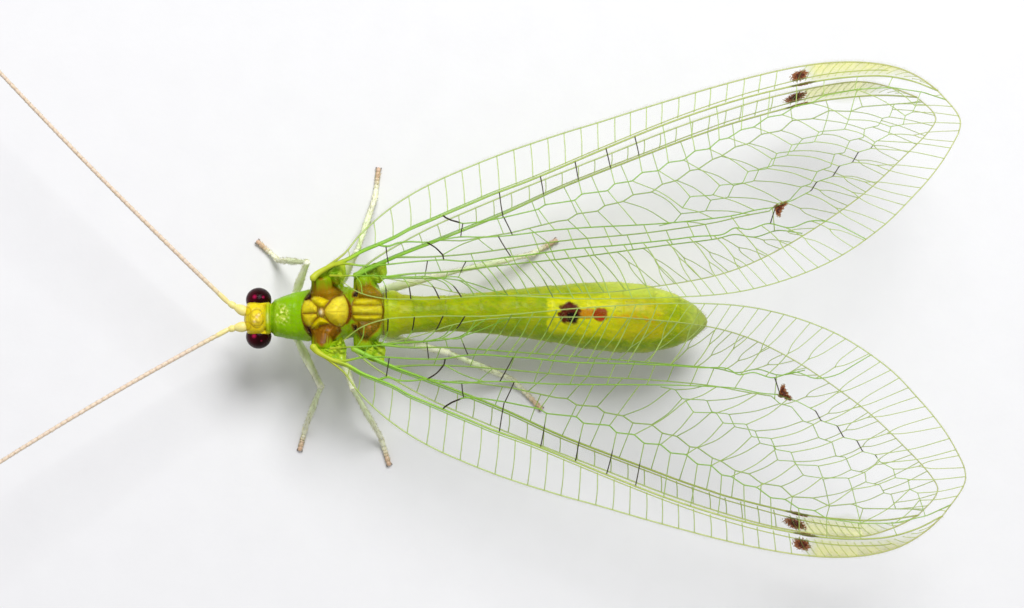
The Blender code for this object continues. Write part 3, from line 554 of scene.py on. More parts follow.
    def vein(self, name, thick, thin, tint, far_tint, stem=0.0):
        path = self.lines[name].line
        run = self.lines[name].run
        x = path[:, 0]
        ink = np.zeros(len(path))
        if self.fore and name == "steps":
            bars = ((15.02, 15.32, 1), (15.74, 16.07, 1), (16.40, 16.70, 0.9), (17.03, 17.15, 0.6))
            for low, high, dark in bars:
                ink = np.maximum(ink, dark * soft(x, low, low + 0.03) * (1 - soft(x, high - 0.03, high)))
        if self.fore and name == "sector":
            ink = 1 - soft(x, 4.30, 4.42)
        size = thin + (thick - thin) * (1 - run / run[-1]) ** 1.2 + stem * np.exp(-run / 0.75)
        self.long.append((path, size, tint, far_tint, ink))


# Each wing: lines, links, rim, side (1 right, -1 left), root, tip and roof tilt, as its solid has.
WINGS = {
    "wing_fore_right": (FORE_LINES, FORE_LINKS, FORE_RIM, 1,
        (-5.72, 1.00, 3.75), (13.51, 5.32, 6.40), 30.0),
    "wing_fore_left": (FORE_LINES, FORE_LINKS, FORE_RIM, -1,
        (-5.72, -1.52, 3.75), (13.60, -5.05, 6.40), 10.0),
    "wing_hind_right": (HIND_LINES, HIND_LINKS, HIND_RIM, 1,
        (-4.50, 1.06, 2.95), (12.66, 5.53, 4.95), 30.0),
    "wing_hind_left": (HIND_LINES, HIND_LINKS, HIND_RIM, -1,
        (-4.56, -1.56, 2.95), (12.78, -5.55, 4.95), 10.0),
}


class Pose:
    """Bows a flat wing and lays it from root to tip."""

    def __init__(self, side, root, tip, roof):
        along = Vector(tip) - Vector(root)
        sweep = math.atan2(along.y, along.x)
        rise = math.atan2(along.z, along.xy.length)
        turn = (
            Matrix.Rotation(sweep, 3, "Z")
            @ Matrix.Rotation(-rise, 3, "Y")
            @ Matrix.Rotation(math.radians(-roof) * side, 3, "X")
        )
        self.turn = np.array(turn)
        self.root = np.array(root)
        self.side = side
        self.up = self.turn @ np.array([0, 0, 1.0])

    def lay(self, flat, lift=0.0):
        """Places flat points (..., 2) of the wing, raised off its surface by lift."""
        flat = np.asarray(flat, float)
        x, y = flat[..., 0], flat[..., 1]
        across = y / WIDEST
        outward = np.clip(x / WIDEST, 0, 1)
        height = lift - CAMBER * across ** 2 * outward + folds(x, y)
        spot = np.stack([x, y * self.side, height], axis=-1)
        return spot @ self.turn.T + self.root


def folds(x, y):
    """The membrane's own low pleats, highest along the radius."""
    return 0.035 * np.cos((y - 0.12 * x) * 4.2) * np.clip(x / 3, 0, 1) * np.clip((20 - x) / 4, 0, 1)


# Dark spots of a wing: along, across, half length, half width, and the slant of the smudge.
FORE_SPOTS = [
    (15.32, 3.12, 0.33, 0.21, 0.2), (13.98, -1.46, 0.10, 0.22, 0.0), (14.16, -1.28, 0.19, 0.10, 0.3),
    (13.97, -1.30, 0.13, 0.10, 0.0), (14.05, -1.37, 0.14, 0.15, 0.0), (15.38, 2.80, 0.40, 0.06, 0.0),
]
HIND_SPOTS = [(14.02, 2.08, 0.44, 0.20, 0.12), (14.05, 1.75, 0.42, 0.06, 0.0)]


def vein_material():
    look = Shader("vein", Roughness=0.40, IOR=1.45)
    look.set("Specular IOR Level", 0.3)
    tint = look.read("tint")
    grain = look.noise(look.place(), 2600.0)
    green = look.mix(grain, tone(128, 190, 36), tone(164, 214, 72))
    sage = look.mix(grain, tone(176, 206, 98), tone(200, 222, 130))
    tan = look.mix(grain, tone(196, 196, 104), tone(218, 216, 132))
    root = look.mix(grain, tone(138, 170, 10), tone(214, 214, 60))
    pale = look.mix(look.between(tint, 0.12, 0.55), green, sage)
    pale = look.mix(look.between(tint, 0.6, 1.0), pale, tan)
    lime = look.mix(grain, tone(168, 190, 54), tone(196, 208, 96))
    pale = look.mix(look.between(tint, 0.0, -0.5), pale, lime)
    along = look.node("ShaderNodeSeparateXYZ", "X", Vector=look.place())
    pale = look.mix(look.between(along, -4.5 * MM, -5.4 * MM), pale, root)
    dark = look.between(look.read("ink"), 0.2, 0.75)
    look.set("Base Color", look.mix(dark, pale, tone(40, 26, 14)))
    clearness = look.math("MULTIPLY", look.between(look.read("thick"), 0.10, 0.06), 0.42)
    clearness = look.math("MULTIPLY", clearness, look.math("SUBTRACT", 1.0, dark))
    look.set("Alpha", look.math("SUBTRACT", 1.0, clearness))
    return look.material


def clear_material():
    look = Shader("clear_membrane", Roughness=0.12, IOR=1.45, Alpha=0.006)
    look.set("Base Color", (0.34, 0.40, 0.22))
    return look.material


def marked_material(name, patch):
    """Membrane where it is coloured: yellow in the patch near the tip, smudged dark in the spots."""
    look = Shader(name, Roughness=0.40, IOR=1.45)
    look.set("Specular IOR Level", 0.1)
    flat = look.node("ShaderNodeUVMap", uv_map="wing")
    ragged = look.noise(flat, 420.0, 4.0)
    cloud = look.noise(flat, 120.0, 3.0)
    spot = look.math("ADD", look.read("spot"), look.math("MULTIPLY", look.math("SUBTRACT", ragged, 0.5), 1.5))
    dark = look.between(spot, 0.30, 0.62)
    stigma = look.read("patch")
    tinted = look.mix(cloud, patch, tuple(0.8 * c for c in patch))
    colour = look.mix(stigma, (0.34, 0.40, 0.22), tinted)
    brown = look.mix(look.between(spot, 0.45, 1.0), tone(150, 84, 34), tone(70, 24, 8))
    look.set("Base Color", look.mix(dark, colour, brown))
    alpha = look.math("ADD", 0.006, look.math("MULTIPLY", stigma, 0.38))
    look.set("Alpha", look.math("MAXIMUM", alpha, look.math("MULTIPLY", dark, 0.88)))
    return look.material


def hinge_material():
    look = Shader("hinge", Roughness=0.26, IOR=1.46)
    look.set("Specular IOR Level", 0.3)
    place = look.place()
    cloud = look.noise(place, 3200.0, 4.0)
    lime = look.mix(look.between(cloud, 0.36, 0.66), tone(126, 168, 10), tone(178, 200, 40))
    stain = look.between(look.noise(place, 1700.0, 3.0), 0.56, 0.68)
    look.set("Base Color", look.mix(stain, lime, tone(150, 112, 14)))
    look.bump(cloud, 0.25, 0.03)
    return look.material


def spot_depth(flat, spots):
    """How deep in a dark spot flat points lie: 1 in the middle, 0 at the edge and outside."""
    deep = np.zeros(flat.shape[:-1])
    for along, across, long, wide, slant in spots:
        x, y = flat[..., 0] - along, flat[..., 1] - across
        x, y = x * math.cos(slant) + y * math.sin(slant), y * math.cos(slant) - x * math.sin(slant)
        deep = np.maximum(deep, np.clip(1.25 - np.hypot(x / long, y / wide), 0, 1))
    return deep


def wing_membrane(name, net, pose, links, spots, finishes):
    """The clear skin between the veins, a closed sheet a hundredth thick, finer near the spots."""
    front = net.lines["front"].line
    rear = net.lines["rear"].line
    edge = np.vstack([front, rear[-2::-1]])
    edge = resampled(np.vstack([edge, edge[:1]]), 241)[:-1]
    bm = bmesh.new()
    bm.faces.new([bm.verts.new((x, y, 0)) for x, y in edge])

    def slice_at(places, axis, only=None):
        normal = Vector((0, 0, 0))
        normal[axis] = 1
        for place in places:
            faces = [f for f in bm.faces if only is None or only(f)]
            corners = list({v for f in faces for v in f.verts})
            geom = corners + list({e for f in faces for e in f.edges}) + faces
            bmesh.ops.bisect_plane(bm, geom=geom, dist=1e-4, plane_co=normal * place, plane_no=normal)

    slice_at(np.arange(0.0, 20.0, 0.5), 0)
    slice_at(np.arange(-3.75, 3.5, 0.3), 1)
    for along, across, _, _, _ in spots:
        def near(face, x=along, y=across):
            middle = face.calc_center_bounds()
            return abs(middle.x - x) < 0.85 and abs(middle.y - y) < 0.60
        slice_at(np.arange(along - 0.6, along + 0.6, 0.06), 0, near)
        slice_at(np.arange(across - 0.4, across + 0.4, 0.06), 1, near)
    bmesh.ops.triangulate(bm, faces=bm.faces)
    bmesh.ops.recalc_face_normals(bm, faces=bm.faces)
    if bm.faces[:][0].normal.z < 0:
        bmesh.ops.reverse_faces(bm, faces=bm.faces)
    grown = bmesh.ops.extrude_face_region(bm, geom=bm.faces[:])["geom"]
    under = {g for g in grown if isinstance(g, bmesh.types.BMVert)}
    bmesh.ops.recalc_face_normals(bm, faces=bm.faces)
    uv = bm.loops.layers.uv.new("wing")
    for face in bm.faces:
        for loop in face.loops:
            loop[uv].uv = (loop.vert.co.x / 20, loop.vert.co.y / 20)
    flat = np.array([vert.co[:2] for vert in bm.verts])
    lift = np.array([-0.006 if vert in under else 0.006 for vert in bm.verts])
    radius = net.lines["radius"].line
    first, last = links["stigma"]
    x, y = flat[:, 0], flat[:, 1]
    limit = np.interp(x, radius[:, 0], radius[:, 1])
    patch = soft(x, first + 0.1, first + 0.7) * (1 - soft(x, last - 0.9, last + 0.3))
    patch *= soft(y, limit - 0.05, limit + 0.12) * (0.75 + 0.25 * soft(y, limit + 0.12, limit + 0.4))
    spot = spot_depth(flat, spots)
    marked = (patch > 0.01) | (spot > 0)
    for index, vert in enumerate(bm.verts):
        vert.index = index
    for face in bm.faces:
        face.material_index = int(any(marked[v.index] for v in face.verts))
    mesh = to_mesh(bm)
    mesh.vertices.foreach_set("co", pose.lay(flat, lift).ravel())
    if pose.side > 0:
        mesh.flip_normals()
    attribute(mesh, "patch", patch)
    attribute(mesh, "spot", spot)
    own(mesh, name, finishes)


def wing_veins(name, net, pose, spots, finish):
    """The veins as round tubes: the long ones, and all the short ones between them."""
    def gathered(veins, rings, sides, part, replaced):
        bodies, radii, tints, inks, sizes = [], [], [], [], []
        for path, thick, tint, ink in veins:
            flat = resampled(path, rings)
            share = np.linspace(0, 1, rings)
            run = np.concatenate([[0], np.cumsum(np.linalg.norm(np.diff(path, axis=0), axis=1))])
            stops = {len(path): run / run[-1]}
            thick, tint, ink = (
                np.interp(share, stops.get(len(v), np.linspace(0, 1, len(v))), v)
                for v in (thick, tint, ink)
            )
            dark = np.maximum(ink, np.clip(spot_depth(flat, spots) * 1.4, 0, 0.56))
            body, radius = rounded(pose.lay(flat), thick / 2 * (1 + 0.15 * dark))
            bodies.append(body)
            radii.append(radius)
            tints.append(np.concatenate([tint[:1], tint, tint[-1:]]))
            inks.append(np.concatenate([dark[:1], dark, dark[-1:]]))
            sizes.append(np.concatenate([thick[:1], thick, thick[-1:]]))
        values = {"tint": tints, "ink": inks, "thick": sizes}
        mesh = tubes(bodies, radii, pose.up, sides, values)
        own(mesh, f"{name}_{part}", [finish], replaced)

    long = [(path, size, [tint, far_tint], ink) for path, size, tint, far_tint, ink in net.long]
    short = [
        (path, [thick * 1.15, thick, thick * 1.15],
         [tint + 0.018 * path[0][0], tint + 0.018 * path[-1][0]], ink)
        for path, thick, ink, tint in net.short
    ]
    gathered(long, 240, 8, "veins", [name])
    gathered(short, 9, 6, "crossveins", [])


def make_wings(hair):
    veins = vein_material()
    hinge = hinge_material()
    clear = clear_material()
    fore_marks = marked_material("fore_marks", tone(232, 230, 96))
    # The hind wings' patch is painted paler than the fore wings': painted light, making up for the shade of
    # the fore wing over it.
    hind_marks = marked_material("hind_marks", tone(254, 254, 148))
    for number, (name, (lines, links, rim, side, root, tip, roof)) in enumerate(WINGS.items()):
        net = Net(lines, links, rim, seed=11 + number)
        pose = Pose(side, root, tip, roof)
        spots = FORE_SPOTS if net.fore else HIND_SPOTS
        wing_veins(name, net, pose, spots, veins)
        wing_hinge(name, net, pose, hinge)
        marks = fore_marks if net.fore else hind_marks
        wing_membrane(f"{name}_membrane", net, pose, links, spots, [clear, marks])
        wing_hairs(f"{name}_hairs", net, pose, hair, seed=31 + number)


def wing_hinge(name, net, pose, finish):
    """The pleated skin at the root of a wing, from the shoulder to the roots of the veins."""
    x, _, z = pose.root
    if net.fore:
        shoulder = [(-0.30, 0.93, -0.42), (-0.08, 0.98, -0.36), (0.16, 0.92, -0.42), (0.40, 0.84, -0.56)]
    else:
        shoulder = [(-0.24, 0.86, -0.30), (-0.06, 0.92, -0.26), (0.12, 0.86, -0.32), (0.28, 0.78, -0.42)]
    reach = [(-0.10, 0.02), (0.30, 0.14), (0.68, 0.09), (0.66, -0.31), (0.54, -0.52)]

    def spread(places, share):
        """The places of an edge, evenly along it."""
        columns = np.array(places).T
        even = np.linspace(0, 1, len(places))
        return np.column_stack([np.interp(share, even, column) for column in columns])

    bm = bmesh.new()
    bmesh.ops.create_grid(bm, x_segments=30, y_segments=70, size=0.5)
    grown = bmesh.ops.extrude_face_region(bm, geom=bm.faces[:])["geom"]
    under = {g for g in grown if isinstance(g, bmesh.types.BMVert)}
    out, across = (np.array([vert.co[k] + 0.5 for vert in bm.verts]) for k in (0, 1))
    lower = np.array([vert in under for vert in bm.verts])
    first = spread(shoulder, across) * (1, pose.side, 1) + (x, -0.262, z)
    places = first + (pose.lay(spread(reach, across)) - first) * out[:, None]
    bow = np.sin(np.pi * np.clip(out, 0, 1))
    lumps = np.array([noise.noise(Vector(place * 5.5)) for place in places])
    height = bow * (0.05 + 0.030 * np.cos(across * 2 * np.pi * 6 + 3 * lumps) + 0.16 * lumps)
    thick = (0.16 * (1 - out) + 0.022) * (0.25 + 0.75 * np.sqrt(np.sin(np.pi * np.clip(across, 0, 1)) + 1e-9))
    places += (height - lower * thick)[:, None] * pose.up
    for vert, place in zip(bm.verts, places):
        vert.co = place
    bmesh.ops.recalc_face_normals(bm, faces=bm.faces)
    own(to_mesh(bm), f"{name}_hinge", [finish])


def wing_hairs(name, net, pose, finish, seed):
    """Short stiff hairs on the veins, thickest along the front edge."""
    dice = np.random.default_rng(seed)
    roots, ways, lengths, places = [], [], [], []

    def plant(path, thick, step, length, outward):
        line = resampled(path, max(2, int(np.linalg.norm(np.diff(path, axis=0), axis=1).sum() / step)))
        ahead = np.gradient(line, axis=0)
        ahead /= np.linalg.norm(ahead, axis=1, keepdims=True) + 1e-9
        for spot, way in zip(line, ahead):
            side = outward if outward else dice.choice([-1.0, 1.0])
            up = dice.uniform(0.1, 0.9)
            out = np.array([-way[1], way[0]]) * side
            base = pose.lay(spot, thick * 0.3 * up)
            flat = spot + out * (1 - up * 0.5) * length + way * length * 0.5
            tip = pose.lay(flat, thick * 0.5 + length * up)
            roots.append(base)
            ways.append(tip - base)
            lengths.append(length * dice.uniform(0.7, 1.25))
            places.append((0.02 + 0.047 * spot[0], 0.5 + 0.11 * spot[1]))

    for path, size, _, _, _ in net.long:
        edge = path is net.lines["front"].line or path is net.lines["rear"].line
        if path is net.lines["front"].line:
            plant(path, 0.07, 0.030, 0.12, 1.0)
        elif edge:
            plant(path, 0.05, 0.050, 0.10, -1.0)
        else:
            plant(path, 0.06, 0.10, 0.09, 0.0)
    for path, thick, _, _ in net.short:
        plant(path, thick, 0.15, 0.07, 0.0)
    hairs(name, roots, ways, np.array(lengths), 0.0034, places, finish)


# The body: one skin from the face to the tail, drawn round a middle line and swollen by forms.

def tone(red, green, blue):
    """A finish as a painter mixes it, 0 to 255, made the light values that a material takes."""
    values = np.array([red, green, blue]) / 255
    return tuple(np.where(values <= 0.04045, values / 12.92, ((values + 0.055) / 1.055) ** 2.4))


PAINTS = {
    "straw": tone(224, 202, 24), "cream": tone(232, 214, 70), "lime": tone(146, 168, 8),
    "leaf": tone(128, 176, 0), "umber": tone(84, 50, 4), "garnet": tone(50, 8, 10),
    "moss": tone(138, 172, 6), "face": tone(214, 206, 80),
    "lip": tone(196, 172, 70), "band": tone(170, 188, 14),
}

# The middle line and half sizes of the body: along, across, height, half width, up, down, paint.
TRUNK = [
    (-8.225, -0.445, 2.42, 0.004, 0.004, 0.004, "face"),
    (-8.20, -0.445, 2.42, 0.10, 0.12, 0.14, "face"),
    (-8.12, -0.445, 2.44, 0.20, 0.24, 0.30, "face"),
    (-7.95, -0.445, 2.46, 0.30, 0.40, 0.42, "straw"),
    (-7.66, -0.445, 2.49, 0.40, 0.46, 0.42, "straw"),
    (-7.54, -0.440, 2.50, 0.46, 0.50, 0.42, "straw"),
    (-7.44, -0.435, 2.50, 0.47, 0.50, 0.42, "band"),
    (-7.37, -0.430, 2.50, 0.45, 0.46, 0.42, "leaf"),
    (-7.30, -0.425, 2.50, 0.51, 0.50, 0.50, "leaf"),
    (-7.00, -0.400, 2.50, 0.60, 0.54, 0.55, "leaf"),
    (-6.70, -0.375, 2.50, 0.68, 0.58, 0.60, "leaf"),
    (-6.40, -0.360, 2.50, 0.73, 0.58, 0.64, "leaf"),
    (-6.22, -0.345, 2.50, 0.76, 0.70, 0.68, "moss"),
    (-6.05, -0.300, 2.50, 0.76, 0.83, 0.78, "moss"),
    (-5.85, -0.280, 2.50, 0.82, 0.90, 0.90, "moss"),
    (-5.45, -0.270, 2.50, 0.84, 0.94, 0.98, "moss"),
    (-5.05, -0.270, 2.48, 0.80, 0.82, 0.98, "moss"),
    (-4.92, -0.270, 2.46, 0.76, 0.68, 0.94, "moss"),
    (-4.60, -0.275, 2.42, 0.78, 0.74, 0.94, "moss"),
    (-4.20, -0.280, 2.37, 0.76, 0.72, 0.88, "moss"),
    (-4.04, -0.300, 2.31, 0.64, 0.62, 0.72, "moss"),
    (-3.96, -0.300, 2.26, 0.66, 0.58, 0.68, "band"),
    (-3.89, -0.305, 2.22, 0.66, 0.55, 0.62, "band"),
    (-3.76, -0.310, 2.18, 0.73, 0.60, 0.62, "band"),
    (-3.55, -0.315, 2.16, 0.71, 0.60, 0.62, "band"),
    (-3.32, -0.320, 2.14, 0.61, 0.58, 0.61, "lime"),
    (-2.60, -0.310, 2.12, 0.55, 0.54, 0.57, "lime"),
    (-1.60, -0.280, 2.10, 0.57, 0.56, 0.59, "lime"),
    (-0.50, -0.270, 2.06, 0.67, 0.66, 0.69, "lime"),
    (0.90, -0.290, 2.00, 0.83, 0.81, 0.85, "lime"),
    (2.30, -0.360, 1.95, 1.02, 0.98, 1.02, "lime"),
    (3.20, -0.400, 1.93, 1.08, 1.03, 1.08, "lime"),
    (4.10, -0.450, 1.92, 1.04, 1.00, 1.04, "lime"),
    (5.00, -0.500, 1.92, 0.81, 0.80, 0.82, "lime"),
    (5.60, -0.530, 1.94, 0.50, 0.50, 0.52, "lime"),
    (5.92, -0.545, 1.95, 0.20, 0.22, 0.24, "lime"),
    (6.02, -0.550, 1.95, 0.004, 0.004, 0.004, "lime"),
]

# Swollen forms: place, half sizes, boxiness, how much wider behind, paint. The last value is how
# far to each side of its place a pair stands, or zero for a single form.
FORMS = [
    # head
    ((-7.85, -0.435, 2.60), (0.345, 0.485, 0.60), 3.2, 0.0, "straw", 0),
    ((-7.81, -0.425, 3.155), (0.235, 0.235, 0.12), 2.3, 0.0, "straw", 0),
    ((-7.88, -0.425, 3.26), (0.055, 0.050, 0.035), 2.0, 0.0, "cream", 0.075),
    ((-7.75, -0.425, 3.26), (0.055, 0.050, 0.035), 2.0, 0.0, "cream", 0.085),
    ((-8.02, -0.445, 2.48), (0.20, 0.36, 0.42), 2.4, 0.0, "face", 0),
    ((-8.10, -0.445, 2.86), (0.11, 0.13, 0.15), 2.2, 0.0, "straw", 0.225),
    ((-8.06, -0.445, 2.08), (0.18, 0.28, 0.20), 2.6, 0.0, "face", 0),
    ((-8.07, -0.445, 1.86), (0.13, 0.23, 0.17), 2.6, 0.0, "lip", 0),
    ((-7.78, -0.445, 2.20), (0.30, 0.17, 0.34), 2.3, 0.0, "face", 0.26),
    ((-7.76, -0.440, 2.58), (0.36, 0.10, 0.40), 2.4, 0.0, "straw", 0.44),
    ((-7.475, -0.435, 2.62), (0.085, 0.475, 0.46), 3.0, 0.0, "band", 0),
    # neck shield
    ((-6.83, -0.385, 2.60), (0.54, 0.62, 0.55), 2.7, 0.13, "leaf", 0),
    # thorax: muscle swellings under the back plates, the shoulders that carry the wings, flanks
    ((-5.70, -0.250, 2.90), (0.48, 0.34, 0.40), 2.3, 0.05, "moss", 0.62),
    ((-5.80, -0.262, 3.26), (0.33, 0.23, 0.34), 2.2, 0.0, "moss", 1.00),
    ((-5.62, -0.280, 2.66), (0.46, 0.30, 0.44), 2.2, 0.0, "moss", 0.84),
    ((-5.55, -0.280, 2.00), (0.40, 0.28, 0.50), 2.3, 0.0, "moss", 0.60),
    ((-4.38, -0.270, 2.76), (0.40, 0.32, 0.36), 2.3, 0.0, "moss", 0.52),
    ((-4.56, -0.255, 2.66), (0.30, 0.22, 0.34), 2.2, 0.0, "moss", 0.98),
    ((-4.44, -0.280, 2.48), (0.38, 0.26, 0.42), 2.2, 0.0, "moss", 0.74),
    ((-4.46, -0.280, 1.90), (0.36, 0.26, 0.46), 2.3, 0.0, "moss", 0.52),
    ((-6.72, -0.365, 1.98), (0.26, 0.22, 0.34), 2.2, 0.0, "lime", 0.34),
]

# Plates of the thorax's back, seen from above: paint, rise, width of the rounded border, outline. Most plates
# on the lower side are painted darker than their partners above: painted shade, away from the light.
PLATES = [
    ((222, 204, 34), 0.11, 0.16, [(-6.418, -0.035), (-6.348, 0.107), (-6.211, 0.122), (-6.108, 0.074),
     (-6.021, -0.009), (-5.956, -0.089), (-5.947, -0.187), (-5.971, -0.257), (-6.2, -0.275),
     (-6.427, -0.288), (-6.435, -0.166)]),
    ((216, 196, 26), 0.11, 0.16, [(-6.418, -0.314), (-6.2, -0.301), (-5.971, -0.31), (-5.947, -0.388),
     (-6.015, -0.467), (-6.087, -0.558), (-6.124, -0.656), (-6.187, -0.693), (-6.291, -0.634),
     (-6.383, -0.504)]),
    ((44, 8, 10), 0.05, 0.08, [(-6.392, 0.009), (-6.374, 0.107), (-6.309, 0.216), (-6.233, 0.303),
     (-6.145, 0.288), (-6.139, 0.227), (-6.165, 0.157), (-6.265, 0.135), (-6.348, 0.092)]),
    ((44, 8, 10), 0.05, 0.08, [(-6.396, -0.525), (-6.366, -0.671), (-6.287, -0.798), (-6.2, -0.907),
     (-6.108, -1.005), (-6.078, -0.929), (-6.145, -0.82), (-6.165, -0.706), (-6.265, -0.685),
     (-6.352, -0.623)]),
    ((220, 202, 18), 0.15, 0.17, [(-6.145, 0.172), (-6.069, 0.238), (-5.895, 0.231), (-5.72, 0.166),
     (-5.572, 0.113), (-5.651, 0.013), (-5.738, -0.083), (-5.84, -0.105), (-5.927, -0.068),
     (-6.021, 0.009), (-6.117, 0.083)]),
    ((204, 188, 4), 0.15, 0.17, [(-5.96, -0.475), (-5.862, -0.405), (-5.76, -0.423), (-5.655, -0.504),
     (-5.55, -0.584), (-5.709, -0.615), (-5.869, -0.65), (-5.938, -0.737), (-6.13, -0.746),
     (-6.121, -0.645), (-6.069, -0.558)]),
    ((196, 168, 84), 0.11, 0.10, [(-5.855, -0.122), (-5.781, -0.135), (-5.725, -0.209),
     (-5.725, -0.318), (-5.775, -0.392), (-5.855, -0.388), (-5.89, -0.257)]),
    ((158, 122, 10), 0.10, 0.22, [(-6.145, 0.292), (-6.08, 0.445), (-5.938, 0.549), (-5.72, 0.584),
     (-5.491, 0.554), (-5.361, 0.467), (-5.197, 0.347), (-5.317, 0.259), (-5.448, 0.205),
     (-5.568, 0.122), (-5.716, 0.174), (-5.89, 0.244), (-6.069, 0.253)]),
    ((116, 76, 2), 0.10, 0.22, [(-6.139, -0.767), (-5.934, -0.754), (-5.86, -0.663), (-5.709, -0.628),
     (-5.542, -0.602), (-5.404, -0.656), (-5.273, -0.728), (-5.241, -0.82), (-5.35, -0.95),
     (-5.448, -1.049), (-5.546, -1.114), (-5.72, -1.195), (-5.873, -1.212), (-5.982, -1.168),
     (-6.08, -1.049), (-6.13, -0.896)]),
    ((236, 220, 60), 0.19, 0.30, [(-5.716, -0.192), (-5.655, -0.089), (-5.563, 0.035), (-5.459, 0.157),
     (-5.35, 0.218), (-5.236, 0.235), (-5.143, 0.262), (-5.079, 0.161), (-5.018, 0.009),
     (-4.988, -0.144), (-4.997, -0.296), (-5.031, -0.427), (-5.088, -0.562), (-5.193, -0.663),
     (-5.284, -0.689), (-5.398, -0.645), (-5.528, -0.554), (-5.637, -0.427), (-5.712, -0.301)]),
    ((120, 62, 2), 0.04, 0.05, [(-5.066, 0.166), (-4.968, 0.009), (-4.905, -0.144), (-4.892, -0.296),
     (-4.94, -0.438), (-5.053, -0.584), (-5.079, -0.567), (-5.018, -0.427), (-4.983, -0.296),
     (-4.975, -0.144), (-5.005, 0.009), (-5.066, 0.148)]),
    ((208, 194, 24), 0.10, 0.12, [(-4.87, 0.009), (-4.783, 0.148), (-4.63, 0.17), (-4.412, 0.161),
     (-4.194, 0.14), (-4.037, 0.083), (-3.985, -0.035), (-4.412, -0.044), (-4.739, -0.039)]),
    ((216, 204, 40), 0.12, 0.12, [(-4.892, -0.052), (-4.412, -0.057), (-3.981, -0.052),
     (-3.944, -0.209), (-3.959, -0.323), (-4.412, -0.331), (-4.87, -0.318), (-4.901, -0.166)]),
    ((202, 188, 18), 0.10, 0.12, [(-4.866, -0.34), (-4.412, -0.344), (-3.963, -0.34), (-4.016, -0.475),
     (-4.194, -0.514), (-4.412, -0.528), (-4.63, -0.519), (-4.779, -0.51), (-4.848, -0.453)]),
    ((140, 116, 2), 0.10, 0.18, [(-4.691, 0.201), (-4.674, 0.358), (-4.587, 0.51), (-4.467, 0.586),
     (-4.325, 0.549), (-4.183, 0.445), (-4.02, 0.288), (-3.985, 0.174), (-4.194, 0.161),
     (-4.412, 0.183)]),
    ((110, 90, 2), 0.10, 0.18, [(-4.713, -0.541), (-4.412, -0.541), (-4.194, -0.532), (-4.007, -0.497),
     (-4.064, -0.711), (-4.183, -0.831), (-4.314, -0.95), (-4.445, -1.081), (-4.619, -0.998),
     (-4.704, -0.863)]),
    ((46, 22, 12), 0.05, 0.08, [(-4.87, 0.227), (-4.848, 0.336), (-4.75, 0.449), (-4.691, 0.39),
     (-4.704, 0.288), (-4.739, 0.218)]),
    ((46, 22, 12), 0.05, 0.08, [(-4.879, -0.645), (-4.748, -0.615), (-4.722, -0.743),
     (-4.765, -0.846), (-4.835, -0.78)]),
]


def plate_depth(x, y, outline):
    """How far points lie inside a flat outline, less than nothing where they are outside it."""
    far = np.full(x.shape, 9.0)
    inside = np.zeros(x.shape, bool)
    for (ax, ay), (bx, by) in zip(outline, outline[1:] + outline[:1]):
        share = ((x - ax) * (bx - ax) + (y - ay) * (by - ay)) / ((bx - ax) ** 2 + (by - ay) ** 2)
        share = np.clip(share, 0, 1)
        far = np.minimum(far, np.hypot(x - ax - share * (bx - ax), y - ay - share * (by - ay)))
        crosses = (ay > y) != (by > y)
        inside ^= crosses & (x < ax + (bx - ax) * (y - ay) / ((by - ay) or 1.0))
    return np.where(inside, far, -far)


# The skin has this many sides, the larger share of them over the back.
SKIN_SIDES = 128
BACK_SIDES = 72
# The back plates of the abdomen end here, each one a little over the next.
PLATE_ENDS = [-3.05, -2.05, -0.98, 0.12, 1.22, 2.32, 3.38, 4.34, 5.12, 5.68]


def ring_places():
    """Where the rings of the skin are: close together on head and thorax."""
    nose = -8.225 + 0.30 * (1 - np.cos(np.linspace(0, math.pi / 2, 34)))
    head = np.arange(-7.925 + 0.0125, -3.80, 0.0125)
    belly = np.arange(-3.80, 5.72, 0.036)
    tail = 6.02 - 0.30 * (1 - np.sin(np.linspace(0, math.pi / 2, 26)))
    return np.concatenate([nose, head, belly, tail])


def form_depth(points, form, side):
    """How far points lie outside one form, less than nothing where they are inside it."""
    (x, y, z), (a, b, c), boxy, widening, _, pair = form
    u = (points[..., 0] - x) / a
    v = (points[..., 1] - (y + pair * side)) / (b * (1 + widening * np.clip(u, -1, 1)))
    w = (points[..., 2] - z) / c
    r = (np.abs(u) ** boxy + np.abs(v) ** boxy + np.abs(w) ** boxy) ** (1 / boxy)
    return (r - 1) * min(a, b, c)


def blended(one, other, reach):
    """The nearer of two depths, rounded where they are alike."""
    near = np.clip(reach - np.abs(one - other), 0, None) / reach
    return np.minimum(one, other) - near ** 2 * reach / 4


